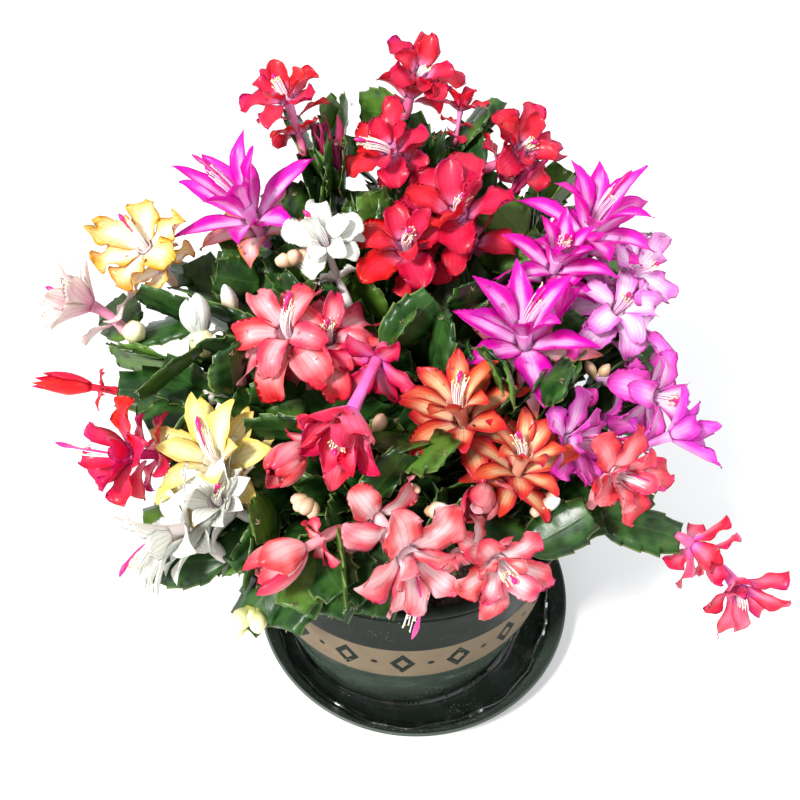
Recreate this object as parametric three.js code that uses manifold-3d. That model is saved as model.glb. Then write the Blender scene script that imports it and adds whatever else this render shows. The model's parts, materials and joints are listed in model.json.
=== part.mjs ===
// A christmas cactus in flower, in a glossy nursery pot that stands in its saucer.
// Millimetres, +Z up. The origin is on the surface that the saucer rests on, under the pot's axis.
// The pot, saucer and soil are turned shapes. The plant is a set of arching branches of flat stem
// segments, and each open flower is a piece of its own that sits on the tip of a branch.

import * as THREE from "three";
import { mergeVertices } from "three/addons/utils/BufferGeometryUtils.js";
import Module from "manifold-3d";

const wasm = await Module();
wasm.setup();

// ---------------------------------------------------------------- sizes

const GAP = 0.3;                  // clearance between pieces that touch
const SIDES = 36;                 // sides of the turned pieces
const WELD = 1e-3;                // corners nearer than this are one corner

const RIM_RADIUS = 95;            // pot, outside of the lip
const RIM_HEIGHT = 150;           // top of the lip above the table
const LIP_WIDTH = 7;
const LIP_DROP = 6;               // height of the lip's outer face
const WALL = 2.4;                 // thickness of the pot's and saucer's walls
const NECK_RADIUS = 90.5;         // pot, just under the lip
const BAND_LOW = 68;              // the printed band, where the wall is near upright
const BAND_HIGH = 100;
const BAND_RADIUS = 87;
const FOOT_RADIUS = 74;
const FOOT_HEIGHT = 4;
const FOOT_WIDTH = 8;
const DRAIN_RADIUS = 5;
const DRAIN_CIRCLE = 45;
const DRAIN_HOLES = 4;
const DRAIN_SIDES = 8;
const DRAIN_DEPTH = 20;           // long enough to pass right through the floor

const SAUCER_RADIUS = 99.8;
const SAUCER_HEIGHT = 20.5;
const SAUCER_FLOOR = 3;
const SAUCER_FLAT = 86;           // radius of the flat underside
const SAUCER_SHIFT = [6.8, -1.6]; // the pot stands a little off the saucer's middle

const SOIL_TOP = 128;             // at the wall
const SOIL_MOUND = 3;             // how much higher the soil is in the middle
const ROOT_DEPTH = 8;             // how far a branch goes into the soil

const STEM_SIDES = 4;             // sides of a woody foot and of a flower's tube
const STEM_RADIUS = 3.2;          // the old woody foot of a branch
const STEM_TAPER = 0.8;           // its radius at the fork, against the soil
const SEGMENT_LENGTH = 38;
const SEGMENT_WIDTH = 24;
const FOOT_NARROWING = 0.4;       // a segment's width at its foot, against its tip
const SEGMENT_THICKNESS = 3;
const SEGMENT_LAP = 2;            // how far a segment reaches into the one it grows from
const SEGMENT_ROLLS = [14, -26, 32, -12, 22]; // turn of each next segment about its own length

const TUBE_RADIUS = 3.6;          // a flower's tube, at its foot
const TUBE_FLARE = 1.6;           // how much wider the tube is at its mouth
const TUBE_LAP = 1.5;             // how far behind its foot point a tube starts
const PETAL_THICKNESS = 2;
const FOLD_SHARE = 0.55;          // where along its length a petal folds back
const ROOT_LEAN = 0.8;            // the petal's angle up to its fold, against its ring's
const TIP_LEAN = 1.15;            // and from the fold to its tip
const EDGE_MARGIN = 3;            // a lens needs more than the margin at its sharp edges
const FACE_MARGIN = 1.5;          // and at its slanting faces, to stay a gap away
const EGG_MARGIN = 2.5;           // the same for a ball of a few faces, at each side
const EGG_SIDES = 6;
const EGG_STACKS = 4;
const HEART = new THREE.Vector3(0, 10, 110); // the segments' broad faces look away from here

// ---------------------------------------------------------------- the plant

// A branch has a root on the soil, and a woody foot up to its fork, where its first limb starts.
// Each further limb starts on [an earlier limb, a joint of it], where joint 0 of the first limb is
// the fork. A limb's flat segments follow the curve through its points.
const BRANCHES = [
  {
    name: "branch_left_high",
    root: [-34, 22],
    fork: [-50, 34, 170],
    limbs: [
      { points: [[-88, 50, 206], [-126, 60, 217]] },
      { on: [0, 1], points: [[-118, 40, 212], [-147, 34, 204]] },
      { on: [0, 0], points: [[-84, 28, 200], [-105, 13, 216]] },
      { on: [0, 1], points: [[-110, 66, 196], [-124, 76, 178]] },
    ],
  },
  {
    name: "branch_left_mid",
    root: [-42, 6],
    fork: [-58, 8, 166],
    limbs: [
      { points: [[-102, 8, 186], [-148, 6, 191]] },
      { on: [0, 1], points: [[-114, -31, 184]] },
      { on: [0, 0], points: [[-87, -6, 204]] },
      { on: [0, 1], points: [[-128, 22, 200], [-154, 21, 205]] },
    ],
  },
  {
    name: "branch_left_low",
    root: [-42, -16],
    fork: [-58, -24, 154],
    limbs: [
      { points: [[-84, -28, 172]] },
      { on: [0, 0], points: [[-66, -52, 172], [-85, -77, 167]] },
      { on: [0, 0], points: [[-60, -48, 182], [-70, -62, 178]] },
      { on: [0, 0], points: [[-97, -11, 190]] },
      { on: [0, 0], points: [[-80, -48, 160], [-94, -66, 142]] },
    ],
  },
  {
    name: "branch_upper_left",
    root: [-24, 34],
    fork: [-40, 52, 176],
    limbs: [
      { points: [[-62, 72, 212], [-78, 81, 229]] },
      { on: [0, 0], points: [[-46, 78, 226], [-58, 102, 272]] },
      { on: [0, 0], points: [[-60, 94, 204], [-84, 112, 196]] },
      { on: [0, 0], points: [[-56, 44, 212], [-61, 49, 243]] },
      { on: [1, 1], points: [[-44, 96, 252]] },
    ],
  },
  {
    name: "branch_front_left",
    root: [-24, -36],
    fork: [-30, -40, 160],
    limbs: [
      { points: [[-36, -38, 182], [-43, -27, 204]] },
      { on: [0, 0], points: [[-34, -60, 182], [-31, -74, 190]] },
      { on: [0, 0], points: [[-56, -82, 174], [-74, -100, 150]] },
      { on: [0, 0], points: [[-46, -56, 185]] },
      { on: [0, 0], points: [[-44, -84, 172], [-53, -108, 160]] },
      { on: [0, 0], points: [[-28, -76, 168], [-34, -102, 162]] },
    ],
  },
  {
    name: "branch_front",
    root: [-6, -42],
    fork: [-10, -46, 158],
    limbs: [
      { points: [[-20, -57, 188]] },
      { on: [0, 0], points: [[-10, -76, 172], [-14, -100, 160]] },
      { on: [0, 0], points: [[0, -50, 190]] },
    ],
  },
  {
    name: "branch_front_right",
    root: [20, -38],
    fork: [22, -48, 156],
    limbs: [
      { points: [[21, -80, 181]] },
      { on: [0, 0], points: [[41, -36, 186]] },
      { on: [0, 0], points: [[10, -60, 186]] },
      { on: [0, 0], points: [[56, -70, 172]] },
    ],
  },
  {
    name: "branch_centre",
    root: [-20, 2],
    fork: [-32, 2, 166],
    limbs: [
      { points: [[-51, 5, 199]] },
      { on: [0, 0], points: [[-29, 13, 200]] },
      { on: [0, 0], points: [[-38, -26, 190]] },
      { on: [0, 0], points: [[-16, -18, 192]] },
    ],
  },
  {
    name: "branch_centre_drop",
    root: [-4, 4],
    fork: [-6, 6, 172],
    limbs: [
      { points: [[-13, 9, 226]] },
      { on: [0, 0], points: [[-4, -28, 194]] },
      { on: [0, 0], points: [[12, 2, 206]] },
    ],
  },
  {
    name: "branch_centre_white",
    root: [-14, 20],
    fork: [-20, 28, 176],
    limbs: [
      { points: [[-30, 32, 226]] },
      { on: [0, 0], points: [[-48, 34, 216]] },
      { on: [0, 0], points: [[-6, 28, 220]] },
    ],
  },
  {
    name: "branch_top_left",
    root: [-10, 40],
    fork: [-18, 66, 186],
    limbs: [
      { points: [[-26, 84, 222], [-38, 98, 251]] },
      { on: [0, 0], points: [[-8, 86, 226], [-2, 104, 262]] },
      { on: [0, 0], points: [[-16, 70, 238]] },
    ],
  },
  {
    name: "branch_top",
    root: [2, 48],
    fork: [6, 78, 196],
    limbs: [
      { points: [[6, 108, 240], [-6, 130, 278]] },
      { on: [0, 1], points: [[22, 126, 262]] },
      { on: [0, 0], points: [[-6, 112, 222], [-22, 138, 232]] },
    ],
  },
  {
    name: "branch_top_right",
    root: [20, 44],
    fork: [26, 68, 188],
    limbs: [
      { points: [[30, 88, 226], [36, 106, 262]] },
      { on: [0, 0], points: [[52, 96, 210], [78, 112, 204]] },
      { on: [0, 1], points: [[50, 90, 256]] },
    ],
  },
  {
    name: "branch_red_heart",
    root: [6, 26],
    fork: [12, 44, 178],
    limbs: [
      { points: [[18, 64, 223]] },
      { on: [0, 0], points: [[28, 60, 206], [36, 76, 231]] },
      { on: [0, 0], points: [[30, 42, 220]] },
    ],
  },
  {
    name: "branch_right_top",
    root: [34, 30],
    fork: [54, 44, 182],
    limbs: [
      { points: [[70, 54, 223]] },
      { on: [0, 0], points: [[80, 58, 208], [88, 69, 231]] },
      { on: [0, 0], points: [[58, 64, 214], [64, 82, 240]] },
      { on: [0, 0], points: [[84, 78, 196], [106, 88, 186]] },
    ],
  },
  {
    name: "branch_right_upper",
    root: [24, 12],
    fork: [42, 18, 164],
    limbs: [
      { points: [[61, 22, 198]] },
      { on: [0, 0], points: [[38, 6, 204]] },
      { on: [0, 0], points: [[68, 12, 188], [82, 14, 216]] },
    ],
  },
  {
    name: "branch_orange",
    root: [12, -12],
    fork: [20, -14, 152],
    limbs: [
      { points: [[32, -19, 183]] },
      { on: [0, 0], points: [[49, -44, 175]] },
      { on: [0, 0], points: [[40, -8, 176], [49, -10, 204]] },
    ],
  },
  {
    name: "branch_right",
    root: [44, 18],
    fork: [66, 36, 176],
    limbs: [
      { points: [[98, 62, 217]] },
      { on: [0, 0], points: [[89, 32, 202]] },
      { on: [0, 0], points: [[100, 48, 188], [126, 56, 178]] },
    ],
  },
  {
    name: "branch_right_mid",
    root: [46, 0],
    fork: [66, 8, 168],
    limbs: [
      { points: [[96, 15, 201]] },
      { on: [0, 0], points: [[92, -8, 184], [108, -20, 183]] },
      { on: [0, 0], points: [[84, -8, 204]] },
      { on: [0, 0], points: [[104, 18, 178], [130, 16, 170]] },
    ],
  },
  {
    name: "branch_right_low",
    root: [40, -18],
    fork: [56, -27, 154],
    limbs: [
      { points: [[71, -33, 179]] },
      { on: [0, 0], points: [[88, -49, 177]] },
      { on: [0, 0], points: [[62, -54, 182]] },
    ],
  },
  {
    name: "branch_trailing",
    root: [34, -34],
    fork: [58, -48, 156],
    limbs: [
      { points: [[104, -46, 162], [133, -56, 164]] },
    ],
  },
  {
    name: "branch_back",
    root: [2, 64],
    fork: [-4, 92, 182],
    limbs: [
      { points: [[-12, 142, 204]] },
      { on: [0, 0], points: [[28, 126, 204], [38, 150, 186]] },
      { on: [0, 0], points: [[-38, 124, 196], [-52, 146, 174]] },
    ],
  },
];

// What a flower of each kind wears, from its foot to its mouth. A ring of petals has its place
// along the tube, its angle from the tube, a turn in petals, and one petal's length and width.
const KINDS = {
  star: {
    rings: [
      { at: 0.45, count: 4, turn: 0, open: 98, length: 31, width: 12 },
      { at: 0.85, count: 6, turn: 0.25, open: 72, length: 37, width: 13 },
    ],
  },
  tiered: {
    rings: [
      { at: 0.4, count: 3, turn: 0.5, open: 112, length: 21, width: 13 },
      { at: 0.9, count: 5, turn: 0.25, open: 88, length: 25, width: 15 },
    ],
  },
  bell: {
    rings: [
      { at: 0.3, count: 3, turn: 0, open: 76, length: 18, width: 12 },
    ],
    egg: { at: 0.7, length: 32, width: 19 },
  },
};

// Open flowers: the foot is on a branch's tip, and the mouth is the middle of the open face.
const FLOWERS = [
  { name: "flower_magenta_left", colour: "magenta", kind: "star", size: 1.1,
    foot: [-78, 81, 229], mouth: [-87, 76, 259] },
  { name: "flower_magenta_heart", colour: "magenta", kind: "star", size: 1.1,
    foot: [61, 22, 198], mouth: [54, 15, 234] },
  { name: "flower_magenta_right", colour: "magenta", kind: "star", size: 1.0,
    foot: [88, 69, 231], mouth: [90, 66, 260] },
  { name: "flower_magenta_small", colour: "magenta", kind: "star", size: 0.75,
    foot: [70, 54, 223], mouth: [72, 48, 252] },
  { name: "flower_orange_high", colour: "orange", kind: "star", size: 0.8,
    foot: [32, -19, 183], mouth: [22, -20, 218] },
  { name: "flower_orange_low", colour: "orange", kind: "star", size: 0.75,
    foot: [49, -44, 175], mouth: [53, -42, 208] },
  { name: "flower_coral_left", colour: "coral", kind: "tiered", size: 1.0,
    foot: [-51, 5, 199], mouth: [-61, 10, 232] },
  { name: "flower_coral_twin", colour: "coral", kind: "tiered", size: 0.8,
    foot: [-29, 13, 200], mouth: [-40, 11, 227] },
  { name: "flower_red_drooping", colour: "red", kind: "tiered", size: 1.0,
    foot: [-13, 9, 226], mouth: [-30, -44, 224] },
  { name: "flower_coral_bell", colour: "coral", kind: "bell", size: 0.85,
    foot: [-43, -27, 204], mouth: [-58, -56, 209] },
  { name: "flower_coral_low_bell", colour: "coral", kind: "bell", size: 1.0,
    foot: [-31, -74, 190], mouth: [-62, -98, 192] },
  { name: "flower_salmon_front", colour: "coral", kind: "tiered", size: 1.2,
    foot: [-20, -57, 188], mouth: [4, -102, 190] },
  { name: "flower_salmon_right", colour: "coral", kind: "tiered", size: 1.0,
    foot: [21, -80, 181], mouth: [51, -92, 185] },
  { name: "flower_coral_small", colour: "coral", kind: "bell", size: 0.7,
    foot: [41, -36, 186], mouth: [32, -63, 193] },
  { name: "flower_red_high_left", colour: "red", kind: "tiered", size: 0.8,
    foot: [-58, 102, 272], mouth: [-72, 118, 301] },
  { name: "flower_red_left", colour: "red", kind: "tiered", size: 1.0,
    foot: [-2, 104, 262], mouth: [-24, 98, 278] },
  { name: "flower_red_top", colour: "red", kind: "tiered", size: 0.95,
    foot: [-6, 130, 278], mouth: [0, 146, 302] },
  { name: "flower_red_high_right", colour: "red", kind: "tiered", size: 0.85,
    foot: [36, 106, 262], mouth: [59, 108, 278] },
  { name: "flower_red_heart", colour: "red", kind: "tiered", size: 1.0,
    foot: [18, 64, 223], mouth: [-4, 54, 252] },
  { name: "flower_red_heart_right", colour: "red", kind: "tiered", size: 1.15,
    foot: [36, 76, 231], mouth: [21, 67, 263] },
  { name: "flower_gold", colour: "yellow", kind: "tiered", size: 1.15,
    foot: [-126, 60, 217], mouth: [-138, 60, 243] },
  { name: "flower_cream", colour: "yellow", kind: "star", size: 0.85,
    foot: [-84, -28, 172], mouth: [-97, -33, 199] },
  { name: "flower_white_low", colour: "white", kind: "tiered", size: 1.0,
    foot: [-85, -77, 167], mouth: [-116, -80, 183] },
  { name: "flower_white_cream", colour: "white", kind: "tiered", size: 0.75,
    foot: [-70, -62, 178], mouth: [-88, -60, 190] },
  { name: "flower_white_heart", colour: "white", kind: "star", size: 0.6,
    foot: [-30, 32, 226], mouth: [-45, 54, 263] },
  { name: "flower_white_left", colour: "white", kind: "tiered", size: 0.95,
    foot: [-147, 34, 204], mouth: [-169, 40, 221] },
  { name: "flower_scarlet_left", colour: "red", kind: "tiered", size: 0.75,
    foot: [-148, 6, 191], mouth: [-170, 2, 200] },
  { name: "flower_scarlet_low", colour: "red", kind: "tiered", size: 1.0,
    foot: [-114, -31, 184], mouth: [-139, -37, 197] },
  { name: "flower_lilac_high", colour: "lilac", kind: "tiered", size: 0.75,
    foot: [98, 62, 217], mouth: [124, 65, 234] },
  { name: "flower_lilac_mid", colour: "lilac", kind: "tiered", size: 0.8,
    foot: [89, 32, 202], mouth: [105, 39, 226] },
  { name: "flower_pink_right", colour: "lilac", kind: "tiered", size: 0.95,
    foot: [96, 15, 201], mouth: [129, 4, 205] },
  { name: "flower_purple_right", colour: "lilac", kind: "tiered", size: 0.75,
    foot: [108, -20, 183], mouth: [139, -17, 194] },
  { name: "flower_lilac_low", colour: "lilac", kind: "tiered", size: 0.85,
    foot: [71, -33, 179], mouth: [80, -28, 208] },
  { name: "flower_coral_right", colour: "coral", kind: "tiered", size: 1.0,
    foot: [88, -49, 177], mouth: [103, -47, 199] },
  { name: "flower_crimson_trailing", colour: "coral", kind: "tiered", size: 1.1,
    foot: [133, -56, 164], mouth: [165, -78, 157] },
];

// ---------------------------------------------------------------- materials

const COLOURS = {
  pot: [0x12352c, 0.28],
  saucer: [0x12352c, 0.28],
  soil: [0x3a2a1e, 0.95],
  stem: [0x2f5a2c, 0.6],
  red: [0xd61f2c, 0.5],
  coral: [0xe8615c, 0.5],
  magenta: [0xd11fb0, 0.5],
  lilac: [0xd98ad6, 0.5],
  orange: [0xe8814a, 0.5],
  yellow: [0xf0d878, 0.5],
  white: [0xf4f1ec, 0.5],
};

function materialOf(name) {
  const [color, roughness] = COLOURS[name];
  return new THREE.MeshStandardMaterial({ name, color, roughness, metalness: 0 });
}

// ---------------------------------------------------------------- solids

const vector = (point) => new THREE.Vector3(...point);

// A closed three.js geometry as a solid. Faces that have closed up to a line are dropped.
function solidOf(geometry) {
  geometry.deleteAttribute("normal");
  geometry.deleteAttribute("uv");
  const welded = mergeVertices(geometry, WELD);
  const corners = welded.index.array;
  const faces = [];
  for (let i = 0; i < corners.length; i += 3) {
    const [a, b, c] = [corners[i], corners[i + 1], corners[i + 2]];
    if (a !== b && b !== c && c !== a) faces.push(a, b, c);
  }
  return new wasm.Manifold(new wasm.Mesh({
    numProp: 3,
    vertProperties: new Float32Array(welded.attributes.position.array),
    triVerts: new Uint32Array(faces),
  }));
}

function geometryOf(solid) {
  const { vertProperties, triVerts } = solid.getMesh();
  const geometry = new THREE.BufferGeometry();
  geometry.setAttribute("position", new THREE.BufferAttribute(vertProperties, 3));
  geometry.setIndex(new THREE.BufferAttribute(triVerts, 1));
  geometry.computeVertexNormals();
  return geometry;
}

function joined(solids) {
  return solids.reduce((whole, solid) => whole.add(solid));
}

// The largest separate body of a solid: a cut can leave loose slivers.
function largestBody(solid) {
  return solid.decompose().reduce((best, body) => (body.volume() > best.volume() ? body : best));
}

// Stands a geometry made along +Y on a point, turned to run along a direction.
function placed(geometry, foot, along, facing) {
  const y = along.clone().normalize();
  const z = facing.clone().addScaledVector(y, -facing.dot(y)).normalize();
  const x = new THREE.Vector3().crossVectors(y, z);
  return geometry.applyMatrix4(new THREE.Matrix4().makeBasis(x, y, z).setPosition(foot));
}

// A solid of revolution from [radius, height] points that start and end on the axis or close up.
function turned(profile) {
  const points = profile.map(([radius, height]) => new THREE.Vector2(radius, height));
  return solidOf(new THREE.LatheGeometry(points, SIDES).rotateX(Math.PI / 2));
}

// ---------------------------------------------------------------- pot, saucer and soil

function pot() {
  const floor = SAUCER_FLOOR + GAP + FOOT_HEIGHT;
  const foot = SAUCER_FLOOR + GAP;
  const lipInner = RIM_RADIUS - LIP_WIDTH;
  const shell = turned([
    [0, floor],
    [FOOT_RADIUS - FOOT_WIDTH, floor],
    [FOOT_RADIUS - FOOT_WIDTH, foot],
    [FOOT_RADIUS, foot],
    [BAND_RADIUS, BAND_LOW],
    [BAND_RADIUS + 1, BAND_HIGH],
    [NECK_RADIUS, RIM_HEIGHT - LIP_DROP],
    [RIM_RADIUS - 0.6, RIM_HEIGHT - LIP_DROP],
    [RIM_RADIUS, RIM_HEIGHT - 1],
    [RIM_RADIUS - 1, RIM_HEIGHT],
    [lipInner + 1, RIM_HEIGHT],
    [NECK_RADIUS - WALL, RIM_HEIGHT - LIP_DROP],
    [BAND_RADIUS + 1 - WALL, BAND_HIGH],
    [BAND_RADIUS - WALL, BAND_LOW],
    [FOOT_RADIUS + 1 - WALL, floor + WALL],
    [0, floor + WALL],
  ]);
  const drain = new THREE.CylinderGeometry(DRAIN_RADIUS, DRAIN_RADIUS, DRAIN_DEPTH, DRAIN_SIDES)
    .rotateX(Math.PI / 2);
  const drains = [];
  for (let i = 0; i < DRAIN_HOLES; i += 1) {
    const turn = ((i + 0.5) / DRAIN_HOLES) * 2 * Math.PI;
    const middle = [DRAIN_CIRCLE * Math.cos(turn), DRAIN_CIRCLE * Math.sin(turn), floor];
    drains.push(solidOf(drain.clone().translate(...middle)));
  }
  return shell.subtract(joined(drains));
}

function saucer() {
  const rim = SAUCER_RADIUS;
  const shell = turned([
    [0, 0],
    [SAUCER_FLAT, 0],
    [SAUCER_FLAT + 7, 5],
    [rim - 2.6, 14],
    [rim, SAUCER_HEIGHT],
    [rim - 2.2, SAUCER_HEIGHT],
    [rim - 4.8, 14.4],
    [SAUCER_FLAT + 4.4, 6.4],
    [SAUCER_FLAT - 1, SAUCER_FLOOR],
    [0, SAUCER_FLOOR],
  ]);
  return shell.translate([...SAUCER_SHIFT, 0]);
}

function soil() {
  const floor = SAUCER_FLOOR + GAP + FOOT_HEIGHT + WALL + GAP;
  const inset = WALL + 2 * GAP;
  return turned([
    [0, floor],
    [FOOT_RADIUS + 1 - inset, floor],
    [BAND_RADIUS - inset, BAND_LOW],
    [BAND_RADIUS + 1 - inset, BAND_HIGH],
    [BAND_RADIUS + 2 - inset, SOIL_TOP],
    [0, SOIL_TOP + SOIL_MOUND],
  ]);
}

// ---------------------------------------------------------------- branches

// One flat stem segment, narrow at its foot and cut off square at its wide tip.
// Every plant piece can be made larger by a margin, to carve room for it in its neighbours.
function segment(foot, tip, roll, margin) {
  const along = tip.clone().sub(foot);
  const length = along.length() + SEGMENT_LAP + 2 * margin;
  const width = SEGMENT_WIDTH + 2 * margin;
  const slab = new THREE.BoxGeometry(width, length, SEGMENT_THICKNESS + 2 * margin);
  slab.translate(0, length / 2 - SEGMENT_LAP - margin, 0);
  const corners = slab.attributes.position;
  for (let i = 0; i < corners.count; i += 1) {
    if (corners.getY(i) < 0) corners.setX(i, corners.getX(i) * FOOT_NARROWING);
  }
  const axis = along.clone().normalize();
  const facing = foot.clone().lerp(tip, 0.5).sub(HEART);
  facing.addScaledVector(axis, -facing.dot(axis));
  facing.applyAxisAngle(axis, THREE.MathUtils.degToRad(roll));
  return solidOf(placed(slab, foot, along, facing));
}

function woodyFoot(root, fork, margin) {
  const along = fork.clone().sub(root);
  const height = along.length() + ROOT_DEPTH + SEGMENT_LAP + margin;
  const radius = STEM_RADIUS + margin;
  const rod = new THREE.CylinderGeometry(radius * STEM_TAPER, radius, height, STEM_SIDES);
  rod.translate(0, height / 2 - ROOT_DEPTH, 0);
  return solidOf(placed(rod, root, along, new THREE.Vector3(1, 0, 0)));
}

// The joints of a limb: its segments' ends, evenly spaced on the curve through its points.
function jointsOf(start, points) {
  const curve = new THREE.CatmullRomCurve3([start, ...points.map(vector)]);
  const count = Math.max(1, Math.round(curve.getLength() / SEGMENT_LENGTH));
  return curve.getSpacedPoints(count);
}

function branch(plan, margin) {
  const root = new THREE.Vector3(...plan.root, SOIL_TOP);
  const fork = vector(plan.fork);
  const parts = [woodyFoot(root, fork, margin)];
  const grown = [];
  plan.limbs.forEach((limb, order) => {
    const start = limb.on ? grown[limb.on[0]][limb.on[1]] : fork;
    const joints = jointsOf(start, limb.points);
    grown.push(joints);
    for (let i = 0; i + 1 < joints.length; i += 1) {
      const roll = SEGMENT_ROLLS[(order * 2 + i) % SEGMENT_ROLLS.length];
      parts.push(segment(joints[i], joints[i + 1], roll, margin));
    }
  });
  return joined(parts);
}

// ---------------------------------------------------------------- flowers

// A petal is a lens with a fold at its middle: from its root to the fold, then on to its tip.
function petal(root, axis, outward, ring, size, margin) {
  const open = THREE.MathUtils.degToRad(ring.open);
  const lean = (angle) => axis.clone().multiplyScalar(Math.cos(angle))
    .addScaledVector(outward, Math.sin(angle));
  const fold = root.clone().addScaledVector(lean(open * ROOT_LEAN), ring.length * size * FOLD_SHARE);
  const reach = ring.length * size * (1 - FOLD_SHARE) + margin * EDGE_MARGIN;
  const tip = fold.clone().addScaledVector(lean(open * TIP_LEAN), reach);
  const side = new THREE.Vector3().crossVectors(axis, outward);
  const face = new THREE.Vector3().crossVectors(side, lean(open));
  const halfWidth = (ring.width * size) / 2 + margin * EDGE_MARGIN;
  const halfDepth = PETAL_THICKNESS / 2 + margin * FACE_MARGIN;
  const lens = new THREE.OctahedronGeometry(1);
  const corners = lens.attributes.position;
  for (let i = 0; i < corners.count; i += 1) {
    const end = corners.getY(i) > 0 ? tip : root;
    const point = fold.clone().lerp(end, Math.abs(corners.getY(i)))
      .addScaledVector(side, corners.getX(i) * halfWidth)
      .addScaledVector(face, corners.getZ(i) * halfDepth);
    corners.setXYZ(i, point.x, point.y, point.z);
  }
  return solidOf(lens);
}

// The closed petals of a flower that has not opened, as one egg along its tube.
function bulb(middle, axis, sideways, egg, size, margin) {
  const ball = new THREE.SphereGeometry(0.5, EGG_SIDES, EGG_STACKS);
  const width = egg.width * size + margin * EGG_MARGIN;
  ball.scale(width, egg.length * size + margin * EGG_MARGIN, width);
  return solidOf(placed(ball, middle, axis, sideways));
}

function flower(plan, margin) {
  const foot = vector(plan.foot);
  const axis = vector(plan.mouth).sub(foot);
  const reach = axis.length();
  axis.normalize();
  const up = new THREE.Vector3(0, 0, 1);
  const sideways = new THREE.Vector3().crossVectors(axis, up).normalize();
  const radius = TUBE_RADIUS + margin;
  const height = reach + TUBE_LAP + margin;
  const tube = new THREE.CylinderGeometry(radius * TUBE_FLARE, radius, height, STEM_SIDES);
  tube.translate(0, height / 2 - TUBE_LAP, 0);
  const parts = [solidOf(placed(tube, foot, axis, sideways))];
  const onAxis = (share) => foot.clone().addScaledVector(axis, reach * share);
  const { rings, egg } = KINDS[plan.kind];
  for (const ring of rings) {
    for (let i = 0; i < ring.count; i += 1) {
      const turn = ((i + ring.turn) / ring.count) * 2 * Math.PI;
      const outward = sideways.clone().applyAxisAngle(axis, turn);
      parts.push(petal(onAxis(ring.at), axis, outward, ring, plan.size, margin));
    }
  }
  if (egg) parts.push(bulb(onAxis(egg.at), axis, sideways, egg, plan.size, margin));
  return joined(parts);
}

// ---------------------------------------------------------------- the whole plant

const plant = new THREE.Group();
const carved = [];                // grown copies of the pieces made so far

function addPiece(name, solid, colour) {
  const mesh = new THREE.Mesh(geometryOf(solid), materialOf(colour));
  mesh.name = name;
  plant.add(mesh);
}

// Adds a plant piece cut clear of every piece before it.
function addGrown(name, build, colour) {
  const clear = carved.reduce((body, other) => body.subtract(other), build(0));
  const welded = solidOf(geometryOf(largestBody(clear)));
  addPiece(name, largestBody(welded), colour);
  carved.push(build(GAP));
}

for (const plan of BRANCHES) {
  addGrown(plan.name, (margin) => branch(plan, margin), "stem");
}
for (const plan of FLOWERS) {
  addGrown(plan.name, (margin) => flower(plan, margin), plan.colour);
}
const bed = carved.slice(0, BRANCHES.length).reduce((body, other) => body.subtract(other), soil());
addPiece("soil", bed, "soil");
addPiece("pot", pot(), "pot");
addPiece("saucer", saucer(), "saucer");

export default plant;
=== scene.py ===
# %% [markdown]
# # A potted christmas cactus in flower
#
# This lesson dresses a plain solid model of a christmas cactus: a dark green nursery pot in its
# saucer, arching chains of flat toothed stem segments, and blooms of many colours. The solid model
# says where everything is. Each step below makes finer pieces that follow it, and adds the shoots,
# buds and drops that the solid model leaves out.
#
# Lengths in the plans are millimetres, because that is how a maker measures a flower. MM turns
# them into Blender's metres at the last moment.

# %% Load the solid model
import json
import math

import bmesh
import bpy
import numpy as np
from mathutils import Matrix, Vector

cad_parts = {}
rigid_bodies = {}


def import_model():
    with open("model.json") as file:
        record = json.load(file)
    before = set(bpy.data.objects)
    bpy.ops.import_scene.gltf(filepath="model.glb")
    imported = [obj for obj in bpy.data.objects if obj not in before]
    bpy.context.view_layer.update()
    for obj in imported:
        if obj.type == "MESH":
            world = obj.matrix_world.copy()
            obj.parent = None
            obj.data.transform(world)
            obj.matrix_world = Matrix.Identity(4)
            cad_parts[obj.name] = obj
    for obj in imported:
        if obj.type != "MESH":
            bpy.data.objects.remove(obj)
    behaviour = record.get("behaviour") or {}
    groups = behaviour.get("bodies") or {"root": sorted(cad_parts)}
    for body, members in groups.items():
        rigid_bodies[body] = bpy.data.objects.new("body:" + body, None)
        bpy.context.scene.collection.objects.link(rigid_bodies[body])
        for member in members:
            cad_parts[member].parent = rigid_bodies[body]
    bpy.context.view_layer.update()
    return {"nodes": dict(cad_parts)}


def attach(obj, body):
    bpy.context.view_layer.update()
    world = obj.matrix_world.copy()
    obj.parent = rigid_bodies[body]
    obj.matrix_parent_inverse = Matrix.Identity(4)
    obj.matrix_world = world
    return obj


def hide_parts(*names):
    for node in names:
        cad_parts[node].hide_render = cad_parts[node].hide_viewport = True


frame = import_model()
MM = 0.001
BODY = "root"
UP = np.array([0.0, 0.0, 1.0])
print("solid pieces:", len(frame["nodes"]))

# %% [markdown]
# ## Camera, light and floor
#
# The camera looks down on the plant from a standing person's eye level. A camera is placed by the
# three directions of its own axes: right, up and back. Writing them as a matrix is exact, where
# turning it by hand would only come close. The light is a bright cloudy sky, with one large lamp
# from the upper left that gives the petals their shape.

# %% Camera
EYE = (-0.0047, -0.2905, 0.5145)
LENS = 38.48                      # millimetres, on a 36 mm sensor
LOOK_DOWN = 0.831                 # radians below the horizon
ROLL = 0.024                      # radians about the line of sight

camera = bpy.data.objects.new("camera", bpy.data.cameras.new("camera"))
bpy.context.scene.collection.objects.link(camera)
camera.data.lens = LENS
camera.data.sensor_width = 36
camera.data.clip_start, camera.data.clip_end = 0.01, 20
dip, rise = math.sin(LOOK_DOWN), math.cos(LOOK_DOWN)
spin, still = math.sin(ROLL), math.cos(ROLL)
camera.matrix_world = Matrix((
    (still, -spin, 0, EYE[0]),
    (spin * dip, still * dip, -rise, EYE[1]),
    (spin * rise, still * rise, dip, EYE[2]),
    (0, 0, 0, 1),
))
bpy.context.scene.camera = camera
print("camera at", EYE)

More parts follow.
